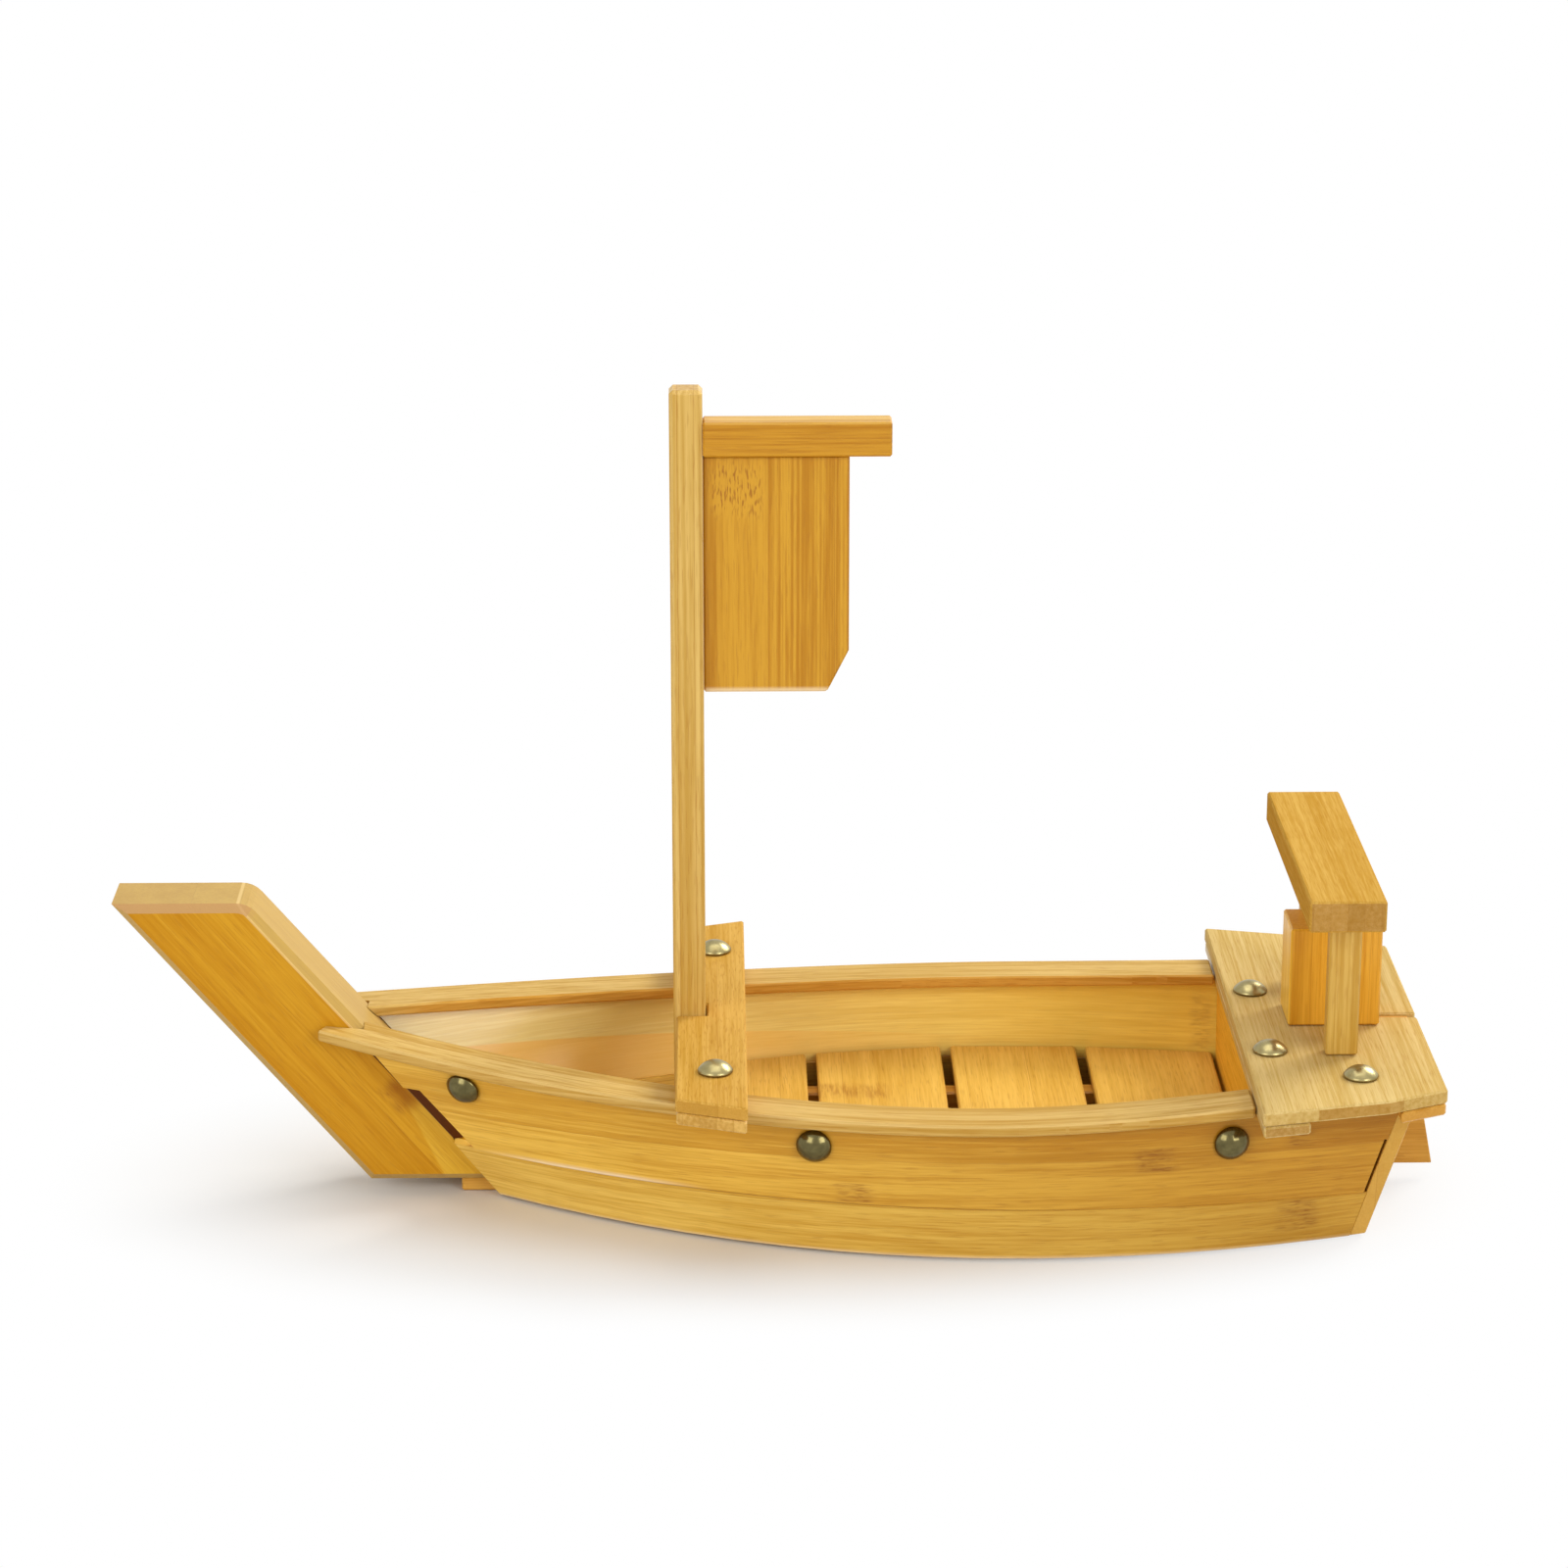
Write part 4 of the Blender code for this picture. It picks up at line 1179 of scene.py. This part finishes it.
@dataclass
class Gate:
    """The small gate over the rudder head."""

    def dress(self) -> None:
        """Dress the gate."""
        cut = {"end_dark": (0.72, 0.68, 0.86), "end_light": (0.94, 0.91, 1.20)}
        short = {"fibre": 0.0006, "fibre_length": 0.012, "fibre_contrast": 1.0}
        plain = {"streak_contrast": 0.3, "line_contrast": 0.5, "specular": 0.0, "coat": 0.0}
        bar = STRAW.toned(0.795, 0.735, 0.50, **cut, **short, **plain)
        dress("gate_crossbar", bar, Grain.BEAM, seed=60.4)
        leg = STRAW.toned(0.87, 0.865, 0.62)
        for i, side in enumerate(SIDES):
            dress(f"gate_leg_{side}", leg, Grain.HEIGHT, seed=61.2 + i)


@dataclass
class Tacks:
    """Dome-headed tacks, turned around the axes of their solids."""

    radius: float = 0.0055
    height: float = 0.0035
    shank_radius: float = 0.0009
    point: float = 0.0015
    rim: float = 0.00045
    rim_slope: float = 0.25
    facing_up: float = 0.5
    dome_steps: int = 10
    turns: int = 48
    # the same bronze twice: a painted lit copy for the tacks that face up, the darker one for the
    # rest
    upward_lit: BronzeFinish = BronzeFinish((0.41, 0.345, 0.160), (0.25, 0.202, 0.086), 0.27)
    aged: BronzeFinish = BronzeFinish((0.19, 0.158, 0.066), (0.095, 0.078, 0.031), 0.15)

    def build(self) -> None:
        """Replace every tack's solid by a finer one, painted brighter where it faces up."""
        upward_lit = self.upward_lit.material("rubbed_bronze")
        aged = self.aged.material("aged_bronze")
        for name in sorted(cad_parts):
            if "_tack_" in name:
                tip, out, shank = self.axis(name)
                shape = self.turned(tip, out, shank)
                piece = new_piece(name + "_head", shape, "hull", "tack_bronze", name)
                piece.data.materials.append(upward_lit if out.z > self.facing_up else aged)

    def axis(self, name: str) -> tuple[Vector, Vector, float]:
        """Find a tack's axis in its solid.

        Args:
            name: The solid's name.

        Returns:
            The point of the shank, the outward direction and the length of the shank.
        """
        corners = np.array([v.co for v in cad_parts[name].data.vertices])
        middle = corners.mean(axis=0)
        spread, turns = np.linalg.eigh(np.cov((corners - middle).T))
        lone = 0 if spread[1] - spread[0] > spread[2] - spread[1] else 2
        out = turns[:, lone]
        along = (corners - middle) @ out
        wide = np.linalg.norm(corners - middle - np.outer(along, out), axis=1) > self.radius / 2
        if along[wide].mean() < (along.min() + along.max()) / 2:
            out, along = -out, -along
        tip = middle + out * along.min()
        return Vector(tip), Vector(out), float(np.ptp(along)) - self.height

    def turned(self, tip: Vector, out: Vector, shank: float) -> bmesh.types.BMesh:
        """Turn a tack from its half profile.

        Args:
            tip: The point of the shank.
            out: The outward direction.
            shank: The length of the shank.

        Returns:
            The tack's mesh in its place.
        """
        shape = bmesh.new()
        ball = (self.radius**2 + (self.height - self.rim) ** 2) / (2 * (self.height - self.rim))
        sweep = math.asin(self.radius / ball)
        profile = [
            Vector((ball * math.sin(a), 0, ball * (math.cos(a) - 1) + self.height))
            for a in (sweep * i / self.dome_steps for i in range(self.dome_steps + 1))
        ]
        profile += [
            Vector((self.radius - self.rim_slope * self.rim, 0, 0)),
            Vector((self.shank_radius, 0, 0)),
            Vector((self.shank_radius, 0, self.point - shank)),
            Vector((0, 0, -shank)),
        ]
        points = [shape.verts.new(p) for p in profile]
        edges = [shape.edges.new(pair) for pair in zip(points, points[1:])]
        bmesh.ops.spin(
            shape,
            geom=points + edges,
            cent=(0, 0, 0),
            axis=(0, 0, 1),
            angle=math.tau,
            steps=self.turns,
            use_merge=True,
        )
        bmesh.ops.remove_doubles(shape, verts=shape.verts, dist=MERGE_DISTANCE)
        bmesh.ops.recalc_face_normals(shape, faces=shape.faces)
        turn = out.to_track_quat("Z", "Y").to_matrix().to_4x4()
        place = Matrix.Translation(tip + out * shank) @ turn
        bmesh.ops.transform(shape, matrix=place, verts=shape.verts)
        for face in shape.faces:
            face.smooth = True
        return shape


@dataclass(frozen=True)
class SoftBox:
    """A square lamp, with its place and sides in metres and its power in watts."""

    name: str
    place: Point
    size: float
    power: float
    mirrored: bool = True

    def hang(self, target: Vector) -> None:
        """Hang the lamp so that it faces a point.

        Args:
            target: The point.
        """
        data = bpy.data.lights.new(self.name, "AREA")
        data.shape = "SQUARE"
        data.size = self.size
        data.energy = self.power
        lamp = bpy.data.objects.new(self.name, data)
        lamp.visible_glossy = self.mirrored
        lamp.location = self.place
        aim = target - Vector(self.place)
        lamp.rotation_euler = aim.to_track_quat("-Z", "Y").to_euler()
        bpy.context.scene.collection.objects.link(lamp)


@dataclass
class Studio:
    """Camera, floor and soft lights.

    The floor turns from pale to plain white over a span of distances from the middle,
    measured in an oval that is longer along the boat.
    """

    target: Point = (0.00084, 0.0, 0.13394)
    distance: float = 1.3838
    yaw: float = math.radians(0.968)
    pitch: float = math.radians(17.911)
    lens: float = 101.3
    sensor: float = 36.0
    clip: Span = (0.05, 100.0)
    floor_size: float = 30.0
    floor_drop: float = 0.0002
    floor_pale: Colour = (0.75, 0.722, 0.67)
    floor_clear: Span = (0.050, 0.122)
    floor_oval: float = 0.5
    world_strength: float = 0.27
    lamps: Sequence[SoftBox] = (
        SoftBox("right_box", (1.15, -1.50, 0.85), 1.0, 16.2),
        SoftBox("back_box", (1.10, 0.90, 1.10), 0.8, 24.0),
        SoftBox("top_box", (0.00, 0.00, 1.70), 1.3, 11.0),
        SoftBox("left_box", (-1.70, -0.80, 0.55), 1.2, 8.0, mirrored=False),
        SoftBox("front_box", (-1.00, -1.50, 0.85), 1.0, 10.2),
    )

    def build(self) -> None:
        """Set up the studio."""
        self.camera()
        self.floor()
        self.world()
        for lamp in self.lamps:
            lamp.hang(Vector(self.target))
        bpy.context.scene.view_settings.view_transform = "Standard"

    def camera(self) -> None:
        """Put the camera where the photograph was taken."""
        data = bpy.data.cameras.new("camera")
        data.lens = self.lens
        data.sensor_width = self.sensor
        data.clip_start, data.clip_end = self.clip
        level = math.cos(self.pitch)
        ahead = Vector(
            (math.sin(self.yaw) * level, math.cos(self.yaw) * level, -math.sin(self.pitch))
        )
        camera = bpy.data.objects.new("camera", data)
        camera.location = Vector(self.target) - ahead * self.distance
        camera.rotation_euler = ahead.to_track_quat("-Z", "Y").to_euler()
        bpy.context.scene.collection.objects.link(camera)
        bpy.context.scene.camera = camera

    def floor(self) -> None:
        """A pale table that turns to plain white away from the boat."""
        shape = bmesh.new()
        bmesh.ops.create_grid(shape, x_segments=1, y_segments=1, size=self.floor_size / 2)
        mesh = bpy.data.meshes.new("table")
        shape.to_mesh(mesh)
        shape.free()
        table = bpy.data.objects.new("table", mesh)
        table.location = (0, 0, -self.floor_drop)
        bpy.context.scene.collection.objects.link(table)
        g = Graph(bpy.data.materials.new("table_white"))
        place = g.split(g.node("ShaderNodeTexCoord", out="Object"))
        oval = g.point(place["X"] * self.floor_oval, place["Y"], 0.0)
        reach = g.node("ShaderNodeVectorMath", {"operation": "LENGTH"}, {0: oval}, "Value")
        plain = g.node("ShaderNodeBsdfDiffuse", None, {"Color": self.floor_pale})
        white = g.node("ShaderNodeEmission", None, {"Color": WHITE, "Strength": 1.0})
        share = reach.ramp(*self.floor_clear) * g.shown()
        mixed = g.node("ShaderNodeMixShader", None, {0: share, 1: plain, 2: white})
        mesh.materials.append(g.surface(mixed))

    def world(self) -> None:
        """Even light from all round, white where it is seen."""
        g = Graph(bpy.data.worlds.new("studio"))
        lit, white = (
            g.node("ShaderNodeBackground", None, {"Color": WHITE, "Strength": strength})
            for strength in (self.world_strength, 1.0)
        )
        mixed = g.node("ShaderNodeMixShader", None, {0: g.shown(), 1: lit, 2: white})
        bpy.context.scene.world = g.surface(mixed)


def main() -> None:
    """Dress the boat, part by part, and set up the studio."""
    logging.basicConfig(level=logging.INFO, format="%(name)s %(message)s")
    Studio().build()
    for assembly in (Hull(), SternDeck(), ServingFloor(), MastBeam(), Rig(), Rudder(), Gate()):
        assembly.dress()
    Tacks().build()


if __name__ == "__main__":
    main()
